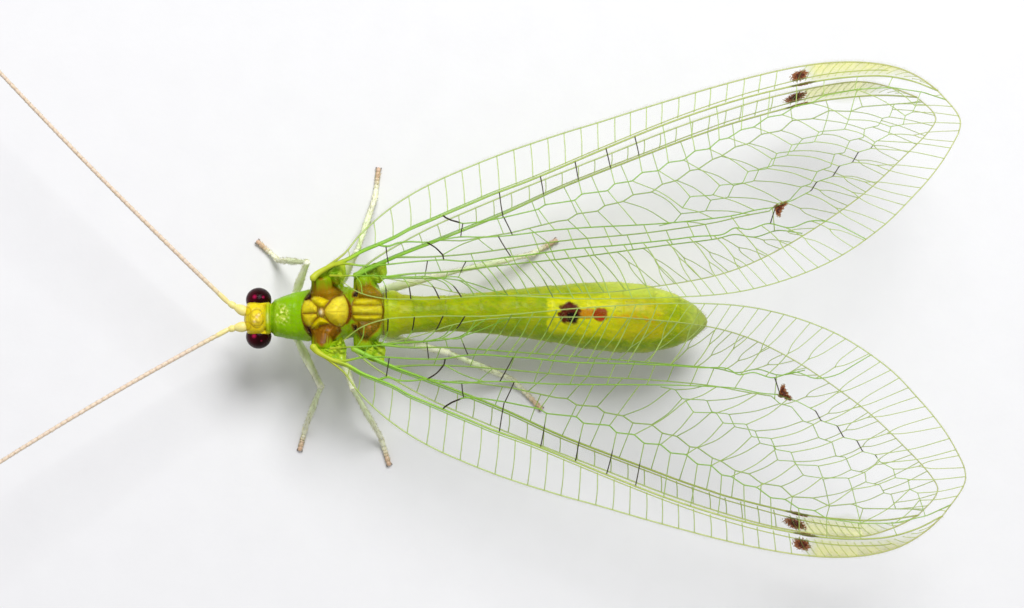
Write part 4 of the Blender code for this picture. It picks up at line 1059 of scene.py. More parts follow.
class Skin:
    """The skin's points, paint and creases, ring by ring."""

    def __init__(self):
        self.xs = ring_places()
        keys = np.array([row[0] for row in TRUNK])
        table = smooth_line([row[:6] for row in TRUNK], per_span=14)
        self.trunk = [np.interp(self.xs, table[:, 0], table[:, k]) for k in range(1, 6)]
        paints = np.array([PAINTS[row[6]] for row in TRUNK])
        self.base = np.column_stack([np.interp(self.xs, keys, paints[:, k]) for k in range(3)])
        rest = (SKIN_SIDES - BACK_SIDES) / 8
        self.angles = np.radians(np.interp(
            np.arange(SKIN_SIDES), [0, rest, rest + BACK_SIDES, SKIN_SIDES], [0, 30, 150, 360]))
        self.rays = np.column_stack([np.zeros(SKIN_SIDES), np.cos(self.angles), np.sin(self.angles)])
        spots, paint, crease = [], [], []
        for number in range(len(self.xs)):
            ring = self.ring(number)
            spots.append(ring[0])
            paint.append(ring[1])
            crease.append(ring[2])
        self.points = np.array(spots)
        self.paint = np.array(paint)
        self.crease = np.array(crease)

    def near_forms(self, x):
        return [
            (form, side)
            for form in FORMS
            if abs(x - form[0][0]) < form[1][0] * 1.25
            for side in ((1, -1) if form[5] else (0,))
        ]

    def depths(self, points, number, forms):
        y, z, wide, up, down = (row[number] for row in self.trunk)
        v = (points[..., 1] - y) / wide
        w = points[..., 2] - z
        w = np.where(w > 0, w / up, w / down)
        r = np.sqrt(v ** 2 + w ** 2)
        found = [(r - 1) * min(wide, up)]
        found += [form_depth(points, form, side) for form, side in forms]
        return found

    def whole(self, found):
        depth = found[0]
        for other in found[1:]:
            depth = blended(depth, other, 0.022)
        return depth

    def ring(self, number):
        x = self.xs[number]
        y, z = self.trunk[0][number], self.trunk[1][number]
        centre = np.array([x, y, z])
        forms = self.near_forms(x)
        steps = np.linspace(1.50, 0.0, 76)
        points = centre + self.rays[:, None, :] * steps[None, :, None]
        depth = self.whole(self.depths(points, number, forms))
        first = np.argmax(depth < 0, axis=1)
        first = np.where((depth < 0).any(axis=1), np.maximum(first, 1), len(steps) - 1)
        far, near = steps[first - 1], steps[first]
        for _ in range(9):
            middle = (far + near) / 2
            inside = self.whole(self.depths(centre + self.rays * middle[:, None], number, forms)) < 0
            near = np.where(inside, middle, near)
            far = np.where(inside, far, middle)
        spots = centre + self.rays * near[:, None]
        found = np.array(self.depths(spots, number, forms))
        weight = np.exp(-(found - found.min(axis=0)) / 0.010)
        colours = [self.base[number]] + [PAINTS[form[4]] for form, _ in forms]
        paint = (weight[..., None] * np.array(colours)[:, None, :]).sum(axis=0)
        paint = paint / weight.sum(axis=0)[:, None]
        if len(found) > 1:
            order = np.sort(found, axis=0)
            crease = np.exp(-(order[1] - order[0]) / 0.012)
        else:
            crease = np.zeros(SKIN_SIDES)
        return spots, paint, crease

    def finish(self):
        """Small relief, plates and markings, which need the whole skin."""
        x, y, z = (self.points[..., k] for k in range(3))
        mid_y = self.trunk[0][:, None]
        mid_z = self.trunk[1][:, None]
        rays = self.rays[None, :, :]
        over = np.sin(self.angles)[None, :]
        aside = np.abs(np.cos(self.angles))[None, :]
        lift = np.zeros_like(x)

        # The neck shield's hind edge is hollowed in the middle and stands over what is behind it.
        edge = -6.45 + 0.33 * np.clip(np.abs(y + 0.30) / 0.70, 0, 1.15) ** 2.2
        shield = soft(x, -7.33, -7.27) * (1 - soft(x, edge - 0.012, edge + 0.020)) * soft(over, -0.25, 0.0)
        lift += 0.035 * shield
        furrow = np.exp(-((x + 6.77 - 0.06 * aside) / 0.040) ** 2) * soft(over, 0.0, 0.4)
        lift -= 0.012 * furrow
        lift += 0.016 * np.exp(-((x + 7.20) / 0.05) ** 2) * soft(over, 0.2, 0.6)

        # Back plates of the thorax, each swollen, with dark joints between them.
        back = (x > -6.6) & (x < -3.8) & (over > 0.05)
        warp = np.array([
            noise.noise_vector(Vector((px * 7.0, py * 7.0, 3.0))) for px, py in zip(x[back], y[back])
        ])
        flat_x, flat_y = x[back] + 0.010 * warp[:, 0], y[back] + 0.010 * warp[:, 1]
        depth = [plate_depth(flat_x, flat_y, plate[3]) for plate in PLATES]
        rise = np.zeros(len(flat_x))
        for found, (_, high, border, _) in zip(depth, PLATES):
            rise = np.maximum(rise, high * (1 - (1 - np.clip(found / border, 0, 1)) ** 2))
        seam = np.exp(-((flat_y + 0.235) / 0.016) ** 2) * soft(flat_x, -5.64, -5.60)
        seam *= 1 - soft(flat_x, -5.10, -5.06)
        rise -= 0.018 * seam
        self.raised = np.zeros_like(x)
        self.raised[back] = rise * soft(over, 0.05, 0.35).repeat(len(x), axis=0)[back]
        head_disc = np.hypot((x + 7.80) / 0.195, (y + 0.449) / 0.30)
        groove = np.exp(-((head_disc - 1.0) / 0.10) ** 2) * soft(over, 0.5, 0.7) * (x < -7.4)
        lift -= 0.016 * groove

        # Abdomen: each back plate rises to its hind edge and drops to the next.
        drop = np.zeros_like(x)
        line = np.zeros_like(x)
        starts = [-3.84] + PLATE_ENDS[:-1]
        for start, stop in zip(starts, PLATE_ENDS):
            bowed = stop + 0.05 * (1 - aside)
            share = np.clip((x - start) / (stop - start), 0, 1)
            rise = 0.018 * soft(share, 0.15, 0.97) * (1 - soft(x, bowed - 0.015, bowed + 0.018))
            drop += rise * (x > start - 0.05)
            line = np.maximum(line, np.exp(-((x - bowed - 0.004) / 0.020) ** 2))
        lift += drop
        belly = soft(x, -3.70, -3.45) * (1 - soft(x, 5.45, 5.85))
        fold = np.exp(-(((self.angles[None, :] + math.pi / 2) % math.pi - math.pi / 2) / 0.10) ** 2)
        wave = 0.6 + 0.4 * np.sin(x * 9.0)
        lift -= 0.030 * fold * wave * belly
        # Shallow muscle pits in two rows on each plate, and a fine wrinkling everywhere.
        pits = np.exp(-((np.abs(y - mid_y) - 0.30 * np.abs(self.trunk[2][:, None])) / 0.07) ** 2)
        pits = 0.010 * pits * (0.5 + 0.5 * np.cos(x * 2 * math.pi / 1.07)) ** 3
        lift -= pits * belly * soft(over, 0.2, 0.6)
        grain = np.array([
            noise.fractal(Vector((px * 5.0, py * 9.0, pz * 9.0)), 0.9, 2.0, 4)
            for px, py, pz in self.points.reshape(-1, 3)
        ]).reshape(x.shape)
        pole = np.clip((x + 8.22) / 0.05, 0, 1) * np.clip((6.01 - x) / 0.05, 0, 1)
        lift += 0.008 * grain * pole
        self.points = self.points + rays * (lift * pole)[..., None]
        self.points[..., 2] += self.raised
        self.grain = grain

        def wash(amount, finish):
            self.paint += (np.asarray(finish) - self.paint) * np.clip(amount, 0, 1)[..., None]

        top = soft(over, 0.15, 0.6)
        wash(0.55 * soft(-over, -0.1, 0.6) * soft(x, -7.3, -7.0), tone(178, 192, 70))
        # Neck shield: netted pale patch near its front, yellower towards the edge.
        patch = np.exp(-(((x + 7.06) / 0.23) ** 4 + ((y + 0.325) / 0.26) ** 4)) * top
        speck = np.zeros_like(x)
        for row, column in zip(*np.nonzero(patch > 0.02)):
            px, py, pz = self.points[row, column]
            speck[row, column] = noise.fractal(Vector((px * 11.0, py * 11.0, pz * 6.0)), 0.8, 2.0, 3)
        wash(0.80 * patch * soft(speck, -0.35, 0.15), tone(190, 204, 70))
        wash(0.85 * patch * soft(speck, 0.22, 0.42), tone(240, 244, 160))
        wash(0.60 * patch * soft(-speck, 0.20, 0.45), tone(112, 140, 0))
        wash(0.5 * soft(x, -7.34, -7.22) * (1 - soft(x, -7.20, -7.05)) * top, tone(160, 204, 30))
        wash(0.85 * (1 - soft(np.abs(x + 0.01 - edge), 0.0, 0.035)) * top
             * soft(np.abs(y + 0.30), 0.34, 0.44), PAINTS["garnet"])
        wash(0.7 * (1 - soft(np.abs(x - 0.01 - edge), 0.0, 0.03)) * top, PAINTS["umber"])

        # Thorax: lime flanks with painted shade in their creases, dark joints, then each plate's own colour,
        # darker at its border.
        thorax = soft(x, -6.45, -6.30) * (1 - soft(x, -3.98, -3.90))
        # Painted shade: darker olive in the creases where the flanks' swellings meet.
        wash(0.55 * soft(self.crease, 0.55, 0.95) * thorax * (1 - top), tone(104, 128, 6))
        nearest = np.max(depth, axis=0)
        joint = np.zeros_like(x)
        joint[back] = soft(nearest, -0.060, -0.020)
        behind_shield = soft(x, edge, edge + 0.03)
        wash(joint * behind_shield, tone(122, 84, 6))
        wash(0.65 * joint * soft(x, -4.90, -4.80) * (1 - soft(x, -4.02, -3.96)), tone(168, 140, 10))
        for number, (found, (paint, _, _, _)) in enumerate(zip(depth, PLATES)):
            share = np.zeros_like(x)
            border = np.zeros_like(x)
            share[back] = soft(found, -0.008, 0.016)
            border[back] = (1 - soft(found, 0.0, 0.075)) * soft(found, -0.008, 0.016)
            wash(share * behind_shield, tone(*paint))
            wash(0.45 * border * behind_shield, tone(*(0.70 * np.array(paint) * (1.0, 0.86, 0.5))))
        # Painted shade: the shield (plate 9) darker towards its lower side, away from the light.
        shield_shade = np.zeros_like(x)
        shield_shade[back] = (depth[9] > 0) * (1 - soft(flat_y, -0.62, 0.10))
        wash(0.75 * shield_shade, tone(206, 182, 14))
        midline = np.zeros_like(x)
        midline[back] = seam
        wash(0.55 * midline, tone(150, 112, 24))
        for number in (7, 8, 14, 15):
            streak = np.zeros_like(x)
            wavy = np.sin(flat_x * 26 + warp[:, 0] * 6) * np.sin(flat_y * 19 + warp[:, 1] * 5)
            streak[back] = (depth[number] > 0.02) * soft(wavy, 0.15, 0.6)
            wash(0.55 * streak, tone(168, 108, 18))
        # Painted highlight: a pale pearly spot on the knob in the middle of the thorax.
        painted_highlight = np.exp(-(((x + 5.835) / 0.045) ** 2 + ((y + 0.244) / 0.06) ** 2))
        wash(0.85 * painted_highlight * top, tone(250, 240, 214))
        for at_x, at_y in ((-5.83, 0.763), (-5.80, -1.25)):
            spot = np.exp(-(((x - at_x) / 0.075) ** 2 + ((y - at_y) / 0.06) ** 2)) * soft(over, 0.2, 0.4)
            wash(0.9 * spot, tone(156, 84, 18))
        wash(0.25 * soft(grain, 0.0, 0.5) * thorax * top, tone(150, 112, 12))
        wash(0.80 * np.exp(-((x + 3.94) / 0.035) ** 2), tone(92, 66, 6))

        # Abdomen: green, yellower along the back, with the plate edges and a clouded grain.
        belly = soft(x, -3.80, -3.60)
        wash(0.60 * belly * soft(grain, -0.3, 0.4), tone(166, 172, 12))
        # Partly the abdomen's own greener lower side, partly painted shade on the side away from the light.
        wash(0.50 * belly * soft(-y + mid_y, 0.1, 0.8), tone(118, 166, 0))
        wash(0.50 * belly * soft(x, -3.55, -3.40) * (1 - soft(x, -3.2, -3.0)), tone(178, 178, 14))
        blotch = np.array([
            noise.noise(Vector((px * 2.6, py * 3.4, pz * 3.4))) for px, py, pz in self.points.reshape(-1, 3)
        ]).reshape(x.shape)
        wash(0.40 * belly * soft(blotch, 0.05, 0.40), tone(182, 184, 10))
        wash(0.35 * belly * soft(-blotch, 0.10, 0.45), tone(118, 146, 0))
        fat = np.array([
            noise.fractal(Vector((px * 6.5, py * 8.5, pz * 8.5)), 0.7, 2.0, 3)
            for px, py, pz in self.points.reshape(-1, 3)
        ]).reshape(x.shape)
        rear = 0.35 + 0.65 * soft(x, 0.6, 2.0)
        wash(0.38 * belly * rear * soft(fat, 0.10, 0.40), tone(190, 204, 20))
        wash(0.26 * belly * rear * soft(-fat, 0.12, 0.45), tone(128, 156, 0))
        # Partly a pale translucent rim, partly painted light: the upper edge of the rear abdomen paler, on
        # the side towards the lamp.
        wash(0.60 * soft(y - mid_y, 0.45, 0.85) * soft(x, 2.0, 3.4), tone(206, 220, 92))
        wash(0.55 * soft(x, 5.05, 5.75), tone(176, 192, 104))
        wash(0.35 * belly * line * soft(over, -0.2, 0.2), tone(112, 134, 4))
        side_stripe = np.exp(-(((self.angles[None, :] + math.pi / 2) % math.pi - math.pi / 2) / 0.20) ** 2)
        wash(0.45 * belly * side_stripe, tone(196, 200, 60))
        rough = grain * 0.10
        wide = self.trunk[2][:, None]
        middle = 1 - soft(np.abs(y - mid_y + 0.02) + rough, 0.52 * wide, 0.68 * wide)
        middle *= soft(over, 0.0, 0.2)
        clear = soft(x + rough * 0.8, 1.04, 1.14) * (1 - soft(x + rough * 3, 3.0, 3.9))
        cloud = 0.62 + 0.38 * soft(grain, -0.35, 0.30)
        wash(0.95 * middle * clear * cloud, tone(214, 212, 6))
        wash(0.55 * middle * soft(x, 2.9, 3.6) * (1 - soft(x, 4.4, 5.0)) * cloud, tone(204, 180, 8))
        blaze = np.exp(-(((y - mid_y) / 0.10) ** 2)) * soft(x, 2.8, 3.1) * (1 - soft(x, 4.2, 4.7)) * top
        wash(0.55 * blaze * soft(grain, -0.1, 0.3), tone(196, 112, 12))
        for at_x, at_y, long, wide, finish, amount in (
            (2.26, -0.30, 0.36, 0.16, tone(190, 112, 10), 0.85),
            (2.70, -0.33, 0.235, 0.205, tone(144, 42, 2), 0.95),
            (1.77, -0.285, 0.36, 0.34, tone(84, 26, 4), 1.0),
            (2.72, -0.42, 0.11, 0.09, tone(184, 44, 8), 0.7),
            (1.84, -0.40, 0.20, 0.17, tone(14, 3, 2), 0.95),
        ):
            far = np.hypot((x - at_x) / long, (y - at_y) / wide) + grain * 0.22
            wash(amount * (1 - soft(far, 0.86, 1.10)) * top, finish)
        # The head: a groove round the disc on its crown, painted highlights as paler spots on it, and a
        # painted highlight streak behind.
        crown = (x < -7.4) * soft(over, 0.5, 0.7)
        wash(0.42 * groove, tone(150, 118, 10))
        wash(0.55 * crown * (1 - soft(head_disc, 0.75, 0.95)), tone(232, 200, 50))
        # Painted highlights: pale peach spots on the crown.
        for at_x, at_y, size in ((-7.79, -0.397, 0.045), (-7.86, -0.53, 0.04), (-7.73, -0.33, 0.035)):
            painted_highlight = np.exp(-(((x - at_x) / size) ** 2 + ((y - at_y) / size) ** 2))
            wash(0.8 * crown * painted_highlight, tone(250, 220, 170))
        # Painted highlight: a pale streak on the band behind the head.
        highlight_streak = np.exp(-(((x + 7.475) / 0.04) ** 2 + ((y + 0.43) / 0.15) ** 4))
        wash(0.6 * highlight_streak * top, tone(216, 226, 150))
        # The face: a reddish streak on each cheek, and dark tips to the mouth.
        cheek = np.exp(-(((x + 7.98) / 0.09) ** 2 + ((z - 2.14) / 0.16) ** 2)) * soft(aside, 0.45, 0.7)
        wash(0.8 * cheek, tone(150, 50, 26))
        socket = np.exp(-((np.hypot(x + 8.10, np.abs(y + 0.445) - 0.225) - 0.12) / 0.025) ** 2)
        wash(0.45 * socket * (x < -7.95), tone(150, 104, 30))
        # Painted shade: ochre darkening in the creases where the head's forms meet.
        wash(0.5 * soft(self.crease, 0.5, 0.95) * (x < -7.4), tone(150, 118, 10))


def body_material():
    look = Shader("cuticle", Roughness=0.30, IOR=1.48)
    place = look.place()
    fine = look.noise(place, 9000.0, 3.0)
    mottle = look.noise(place, 2200.0, 5.0)
    colour = look.paint("paint")
    shade = look.nodes.new("ShaderNodeHueSaturation")
    look.links.new(colour, shade.inputs["Color"])
    look.links.new(look.math("ADD", 0.80, look.math("MULTIPLY", mottle, 0.42)), shade.inputs["Value"])
    look.links.new(look.math("ADD", 0.485, look.math("MULTIPLY", fine, 0.03)), shade.inputs["Hue"])
    look.set("Base Color", shade.outputs["Color"])
    look.set("Roughness", look.math("ADD", 0.18, look.math("MULTIPLY", fine, 0.25)))
    look.set("Specular IOR Level", 0.10)
    look.set("Subsurface Weight", 0.12)
    look.surface.inputs["Subsurface Radius"].default_value = (0.00020, 0.00022, 0.00004)
    height = look.math("ADD", look.math("MULTIPLY", fine, 0.4), look.math("MULTIPLY", mottle, 0.6))
    look.bump(height, 0.35, 0.03)
    return look.material


def make_skin(finish):
    skin = Skin()
    skin.finish()
    rings = len(skin.xs)
    mesh = tube_template(rings, SKIN_SIDES)
    flat = np.empty(len(mesh.vertices) * 3)
    mesh.vertices.foreach_get("co", flat)
    flat = flat.reshape(-1, 3)
    ring = np.rint(flat[:, 2]).astype(int)
    turn = np.arctan2(flat[:, 1], flat[:, 0]) / (2 * math.pi)
    side = np.rint(turn * SKIN_SIDES).astype(int) % SKIN_SIDES
    mesh.vertices.foreach_set("co", skin.points[ring, side].ravel())
    mesh.update()
    made = mesh.attributes.new("paint", "FLOAT_COLOR", "POINT")
    paint = np.column_stack([skin.paint[ring, side], np.ones(len(ring))])
    made.data.foreach_set("color", paint.astype(np.float32).ravel())
    normals = np.empty(len(mesh.vertices) * 3)
    mesh.vertex_normals.foreach_get("vector", normals)
    normals = normals.reshape(-1, 3)
    if (normals[:, 2] * (skin.points[ring, side][:, 2] - skin.trunk[1][ring])).sum() < 0:
        mesh.flip_normals()
        normals = -normals
    nodes = ["head", "prothorax", "mesothorax", "metathorax", "abdomen"]
    own(mesh, "body_skin", [finish], nodes)
    return skin, skin.points[ring, side], normals, ring / rings, side / SKIN_SIDES


# Hairs: thin closed spikes, each a small patch of the bake map at its root's place.

def hairs(name, roots, ways, lengths, thick, places, finish):
    bm = bmesh.new()
    bmesh.ops.create_cone(bm, cap_ends=True, segments=3, radius1=1.0, radius2=0.0, depth=1.0)
    bmesh.ops.translate(bm, verts=bm.verts, vec=(0, 0, 0.5))
    bmesh.ops.remove_doubles(bm, verts=bm.verts, dist=1e-6)
    template = to_mesh(bm)
    flat = np.empty(len(template.vertices) * 3)
    template.vertices.foreach_get("co", flat)
    flat = flat.reshape(-1, 3)
    corners = np.empty(len(template.loops), dtype=np.int32)
    template.loops.foreach_get("vertex_index", corners)
    roots, ways, places = (np.asarray(v, float) for v in (roots, ways, places))
    ways = ways / np.linalg.norm(ways, axis=1, keepdims=True)
    across = np.cross(ways, [0.31, 0.17, 0.93])
    across /= np.linalg.norm(across, axis=1, keepdims=True)
    over = np.cross(ways, across)
    lengths = np.broadcast_to(lengths, len(roots))
    spots = (
        roots[:, None, :]
        + across[:, None, :] * (flat[:, 0] * thick)[None, :, None]
        + over[:, None, :] * (flat[:, 1] * thick)[None, :, None]
        + ways[:, None, :] * (flat[:, 2][None, :] * lengths[:, None])[..., None]
    )
    mesh = copies(template, len(roots))
    mesh.vertices.foreach_set("co", spots.reshape(-1))
    uv = mesh.uv_layers.new(name="OFBake")
    patch = flat[corners][:, :2] * 0.0015
    uv.data.foreach_set("uv", (places[:, None, :] + patch[None]).reshape(-1))
    own(mesh, name, [finish])


def hair_material(name, colour):
    look = Shader(name, Roughness=0.45)
    grain = look.noise(look.place(), 4000.0)
    look.set("Base Color", look.mix(grain, colour, tuple(0.75 * c for c in colour)))
    return look.material


def make_body_hairs(skin, points, normals, along, around, finish):
    dice = np.random.default_rng(5)
    x = points[:, 0]
    weight = np.where(x < -3.9, 0.55, 1.0) * (x > -8.1) * (x < 5.95)
    picked = dice.choice(len(points), size=4200, replace=False, p=weight / weight.sum())
    back = np.array([1.0, 0.0, 0.0])
    ways = normals[picked] * 0.75 + back * 0.75 + dice.normal(0, 0.15, (len(picked), 3))
    lengths = np.where(x[picked] < -3.9, 0.07, 0.11) * dice.uniform(0.7, 1.3, len(picked))
    places = np.column_stack([0.01 + 0.98 * along[picked], 0.01 + 0.98 * around[picked]])
    roots = points[picked] - normals[picked] * 0.01
    hairs("body_hairs", roots, ways, lengths, 0.0045, places, finish)


# The eyes: domes of close-set round facets

EYE_PLACE = (-7.765, -0.435, 2.56)
EYE_OUT = 0.56
EYE_SIZE = 0.405
# Painted glints of each eye, seen from above: direction, reach and strength.
EYE_GLINTS = {
    "eye_right": [((-0.29, 0.26, 0.92), 0.24, 1.0), ((0.40, 0.23, 0.89), 0.16, 0.8)],
    "eye_left": [((-0.34, 0.055, 0.94), 0.26, 1.0), ((0.25, -0.35, 0.90), 0.12, 0.4)],
}


def eye_material():
    look = Shader("eye", Roughness=0.14, IOR=1.5)
    glints_and_red = look.read("glints_and_red")
    grain = look.noise(look.place(), 9000.0, 2.0)
    dark = look.mix(grain, (0.010, 0.0006, 0.0006), (0.022, 0.0012, 0.0012))
    # Painted glints: magenta mixed into the dark base colour where the eye glints, and faintly over its
    # front.
    look.set("Base Color", look.mix(glints_and_red, dark, (0.46, 0.007, 0.075)))
    look.set("Specular IOR Level", 0.09)
    return look.material


def make_eyes():
    finish = eye_material()
    for name, side in (("eye_right", 1), ("eye_left", -1)):
        coarse = bmesh.new()
        bmesh.ops.create_icosphere(coarse, subdivisions=5, radius=1.0)
        facets = kdtree.KDTree(len(coarse.verts))
        for number, vert in enumerate(coarse.verts):
            facets.insert(vert.co, number)
        facets.balance()
        coarse.free()
        bm = bmesh.new()
        bmesh.ops.create_icosphere(bm, subdivisions=7, radius=1.0)
        glints_and_red = []
        glints = EYE_GLINTS[name]
        for vert in bm.verts:
            way = vert.co.normalized()
            far = facets.find(way)[2]
            rise = 1 - 0.0075 * min(1.0, far / 0.034) ** 2
            glint = max(
                size * max(0.0, 1 - (way - Vector(at).normalized()).length / reach)
                for at, reach, size in glints
            )
            # Painted highlights: magenta glints where the eye faces them, and a faint dark red over the front
            # and top of the eye.
            glints_and_red.append(max(glint, 0.16 * max(0.0, -way.x) * max(0.0, way.z)))
            vert.co = way * rise
        centre = Vector(EYE_PLACE) + Vector((0, EYE_OUT * side, 0))
        bmesh.ops.scale(bm, verts=bm.verts, vec=(EYE_SIZE * 0.97, EYE_SIZE * 0.93, EYE_SIZE * 1.06))
        bmesh.ops.translate(bm, verts=bm.verts, vec=centre)
        mesh = to_mesh(bm)
        attribute(mesh, "glints_and_red", glints_and_red)
        own(mesh, f"{name}_dome", [finish], [name])


# Limbs, mouth and antennae: closed round pieces, their radius given along them

def limb_material(name):
    look = Shader(name, Roughness=0.34, IOR=1.46)
    place = look.place()
    fine = look.noise(place, 7000.0, 3.0)
    tint = look.read("tint")
    green = look.mix(fine, tone(216, 234, 172), tone(230, 242, 200))
    straw = look.mix(fine, tone(236, 238, 204), tone(246, 246, 222))
    pink = look.mix(fine, tone(208, 170, 140), tone(226, 198, 170))
    colour = look.mix(look.between(tint, 0.1, 0.5), green, straw)
    colour = look.mix(look.between(tint, 0.6, 1.0), colour, pink)
    inked = look.between(look.read("ink"), 0.2, 0.9)
    look.set("Base Color", look.mix(inked, colour, (0.03, 0.012, 0.010)))
    look.set("Subsurface Weight", 0.25)
    look.surface.inputs["Subsurface Radius"].default_value = (0.00018, 0.00018, 0.00008)
    look.set("Specular IOR Level", 0.4)
    look.bump(fine, 0.3, 0.012)
    return look.material


def stretched(points, radii, count):
    """A smooth path and its radii at evenly spaced rings."""
    line = resampled(smooth_line(points), count)
    share = np.linspace(0, 1, count)
    return line, np.interp(share, np.linspace(0, 1, len(radii)), radii)


def limb(sections, rings=40):
    """Paths, radii, tints and inks of limb sections, ready for tubes."""
    bodies, radii, tints, inks = [], [], [], []
    for points, sizes, tint, ink in sections:
        line, size = stretched(points, sizes, rings)
        line, size = rounded(line, size)
        bodies.append(line)
        radii.append(size)
        tints.append(np.interp(np.linspace(0, 1, rings + 2), np.linspace(0, 1, len(tint)), tint))
        inks.append(np.interp(np.linspace(0, 1, rings + 2), np.linspace(0, 1, len(ink)), ink))
    return bodies, radii, tints, inks


# Each leg: body end, trochanter, knee, ankle and claw.
LEGS = {
    "leg_front_right": ((-6.75, -0.02, 1.70), (-6.70, 0.30, 1.02), (-6.30, 1.28, 2.20),
                        (-7.26, 1.36, 0.30), (-7.83, 1.87, 0.085)),
    "leg_front_left": ((-6.75, -0.72, 1.70), (-6.66, -1.05, 1.02), (-5.87, -2.54, 2.20),
                       (-6.41, -3.82, 0.30), (-6.57, -4.43, 0.085)),
    "leg_middle_right": ((-5.45, 0.14, 1.40), (-5.38, 0.50, 0.92), (-4.76, 1.62, 2.10),
                         (-4.26, 3.27, 0.30), (-4.16, 4.10, 0.085)),
    "leg_middle_left": ((-5.45, -0.70, 1.40), (-5.42, -1.06, 0.92), (-4.88, -2.62, 2.10),
                        (-4.07, -4.16, 0.30), (-3.85, -4.89, 0.085)),
    "leg_hind_right": ((-4.40, 0.06, 1.40), (-4.28, 0.36, 0.86), (-2.00, 0.95, 2.00),
                       (0.58, 1.53, 0.30), (1.28, 1.93, 0.085)),
    "leg_hind_left": ((-4.40, -0.62, 1.40), (-4.28, -0.92, 0.86), (-1.96, -1.50, 2.00),
                      (0.02, -2.35, 0.30), (0.83, -3.18, 0.085)),
}


def make_legs(finish, hair):
    dice = np.random.default_rng(8)
    for name, points in LEGS.items():
        body, hip, knee, ankle, claw = (np.array(p, float) for p in points)
        out = np.array([0, 0, 1.0])
        thigh = (hip + knee) / 2 + out * 0.10
        shin = (knee + ankle) / 2 + out * 0.06
        sections = [
            ([body, (body + hip) / 2 - out * 0.02, hip], [0.20, 0.22, 0.19, 0.13], [0.2, 0.3], [0, 0]),
            ([hip - (knee - hip) * 0.03, hip, hip + (knee - hip) * 0.05], [0.10, 0.13, 0.10], [0.3], [0]),
            ([hip, thigh, knee], [0.085, 0.12, 0.145, 0.132, 0.112, 0.095, 0.105],
             [0.15, 0.35, 0.5], [0, 0]),
            ([knee + (knee - hip) * 0.012, knee, knee + (ankle - knee) * 0.02],
             [0.09, 0.105, 0.085], [0.5], [0]),
            ([knee, shin, ankle], [0.076, 0.066, 0.084, 0.096, 0.090, 0.074, 0.085],
             [0.2, 0.25, 0.6], [0, 0]),
        ]
        foot = claw - ankle
        foot[2] = 0
        stops = [0.0, 0.36, 0.52, 0.66, 0.78, 1.0]
        lows = [ankle[2], 0.135, 0.10, 0.09, 0.088, 0.085]
        for k in range(5):
            a = ankle + foot * stops[k]
            b = ankle + foot * stops[k + 1]
            a[2], b[2] = lows[k], lows[k + 1]
            sizes = [0.055, 0.070, 0.080, 0.082, 0.060]
            sections.append(([a, (a + b) / 2, b], sizes, [0.62 + 0.08 * k], [0, 0]))
        heading = foot / np.linalg.norm(foot)
        aside = np.array([-heading[1], heading[0], 0])
        tip = np.array([claw[0], claw[1], 0.085])
        sections.append(([tip - heading * 0.02, tip + heading * 0.05, tip + heading * 0.11 - out * 0.015],
                         [0.05, 0.075, 0.07], [1.0], [0.15, 0.3]))
        for turn in (1, -1):
            sections.append((
                [tip, tip + heading * 0.07 + aside * 0.06 * turn + out * 0.02,
                 tip + heading * 0.13 + aside * 0.085 * turn - out * 0.01,
                 tip + heading * 0.15 + aside * 0.06 * turn - out * 0.055],
                [0.028, 0.024, 0.016, 0.006], [0.8], [0.3, 0.9]))
        # Two short spurs at the end of the shin.
        for turn in (1, -1):
            sections.append((
                [ankle + aside * 0.05 * turn, ankle + heading * 0.06 + aside * 0.08 * turn,
                 ankle + heading * 0.14 + aside * 0.08 * turn - out * 0.02],
                [0.020, 0.018, 0.006], [0.7], [0.0, 0.4]))
        bodies, radii, tints, inks = limb(sections)
        mesh = tubes(bodies, radii, (0.2, 0.1, 1.0), 14, {"tint": tints, "ink": inks})
        own(mesh, f"{name}_limb", [finish], [name])
        roots, ways, lengths, places = [], [], [], []
        for number, count in ((2, 260), (4, 420), (5, 60), (6, 40), (7, 40), (8, 40), (9, 60)):
            line, size = bodies[number], radii[number]
            for _ in range(count):
                share = dice.uniform(0.03, 0.97)
                at = share * (len(line) - 1)
                low = int(at)
                spot = line[low] + (line[low + 1] - line[low]) * (at - low)
                way = (line[low + 1] - line[low]) / (np.linalg.norm(line[low + 1] - line[low]) + 1e-9)
                angle = dice.uniform(0, 2 * math.pi)
                over = np.cross(way, [0.3, 0.2, 0.9])
                over /= np.linalg.norm(over)
                away = over * math.cos(angle) + np.cross(way, over) * math.sin(angle)
                roots.append(spot + away * size[low] * 0.9)
                ways.append(away * 0.6 + way * 0.9)
                lengths.append(dice.uniform(0.07, 0.13) * (1.0 if number in (2, 4) else 0.6))
                places.append(((number - 2 + share) / 8.2 + 0.01, 0.02 + angle / 6.6))
        hairs(f"{name}_hairs", roots, ways, lengths, 0.0042, places, hair)


# Root of each whip, its heading and bend, the socket it turns in, and the end of its thick base.
ANTENNAE = {
    "antenna_right": ((-8.70, 0.06, 2.875), 136.1, -7.3, (-8.10, -0.265, 2.90), (-8.46, -0.09, 2.89)),
    "antenna_left": ((-8.70, -0.79, 2.875), 208.3, 11.6, (-8.10, -0.680, 2.90), (-8.48, -0.725, 2.89)),
}


def whip(root, heading, bend, length=21.7):
    """The long part of an antenna, on the same curve as its solid."""
    place = np.array(root, float)
    points = []
    for number in range(40):
        share = number / 39
        points.append(place.copy())
        turn = math.radians(heading + bend * share)
        climb = math.radians(8.0 * (1 - 0.5 * share))
        place = place + np.array([
            math.cos(turn) * math.cos(climb), math.sin(turn) * math.cos(climb), math.sin(climb),
        ]) * length / 39
    return points


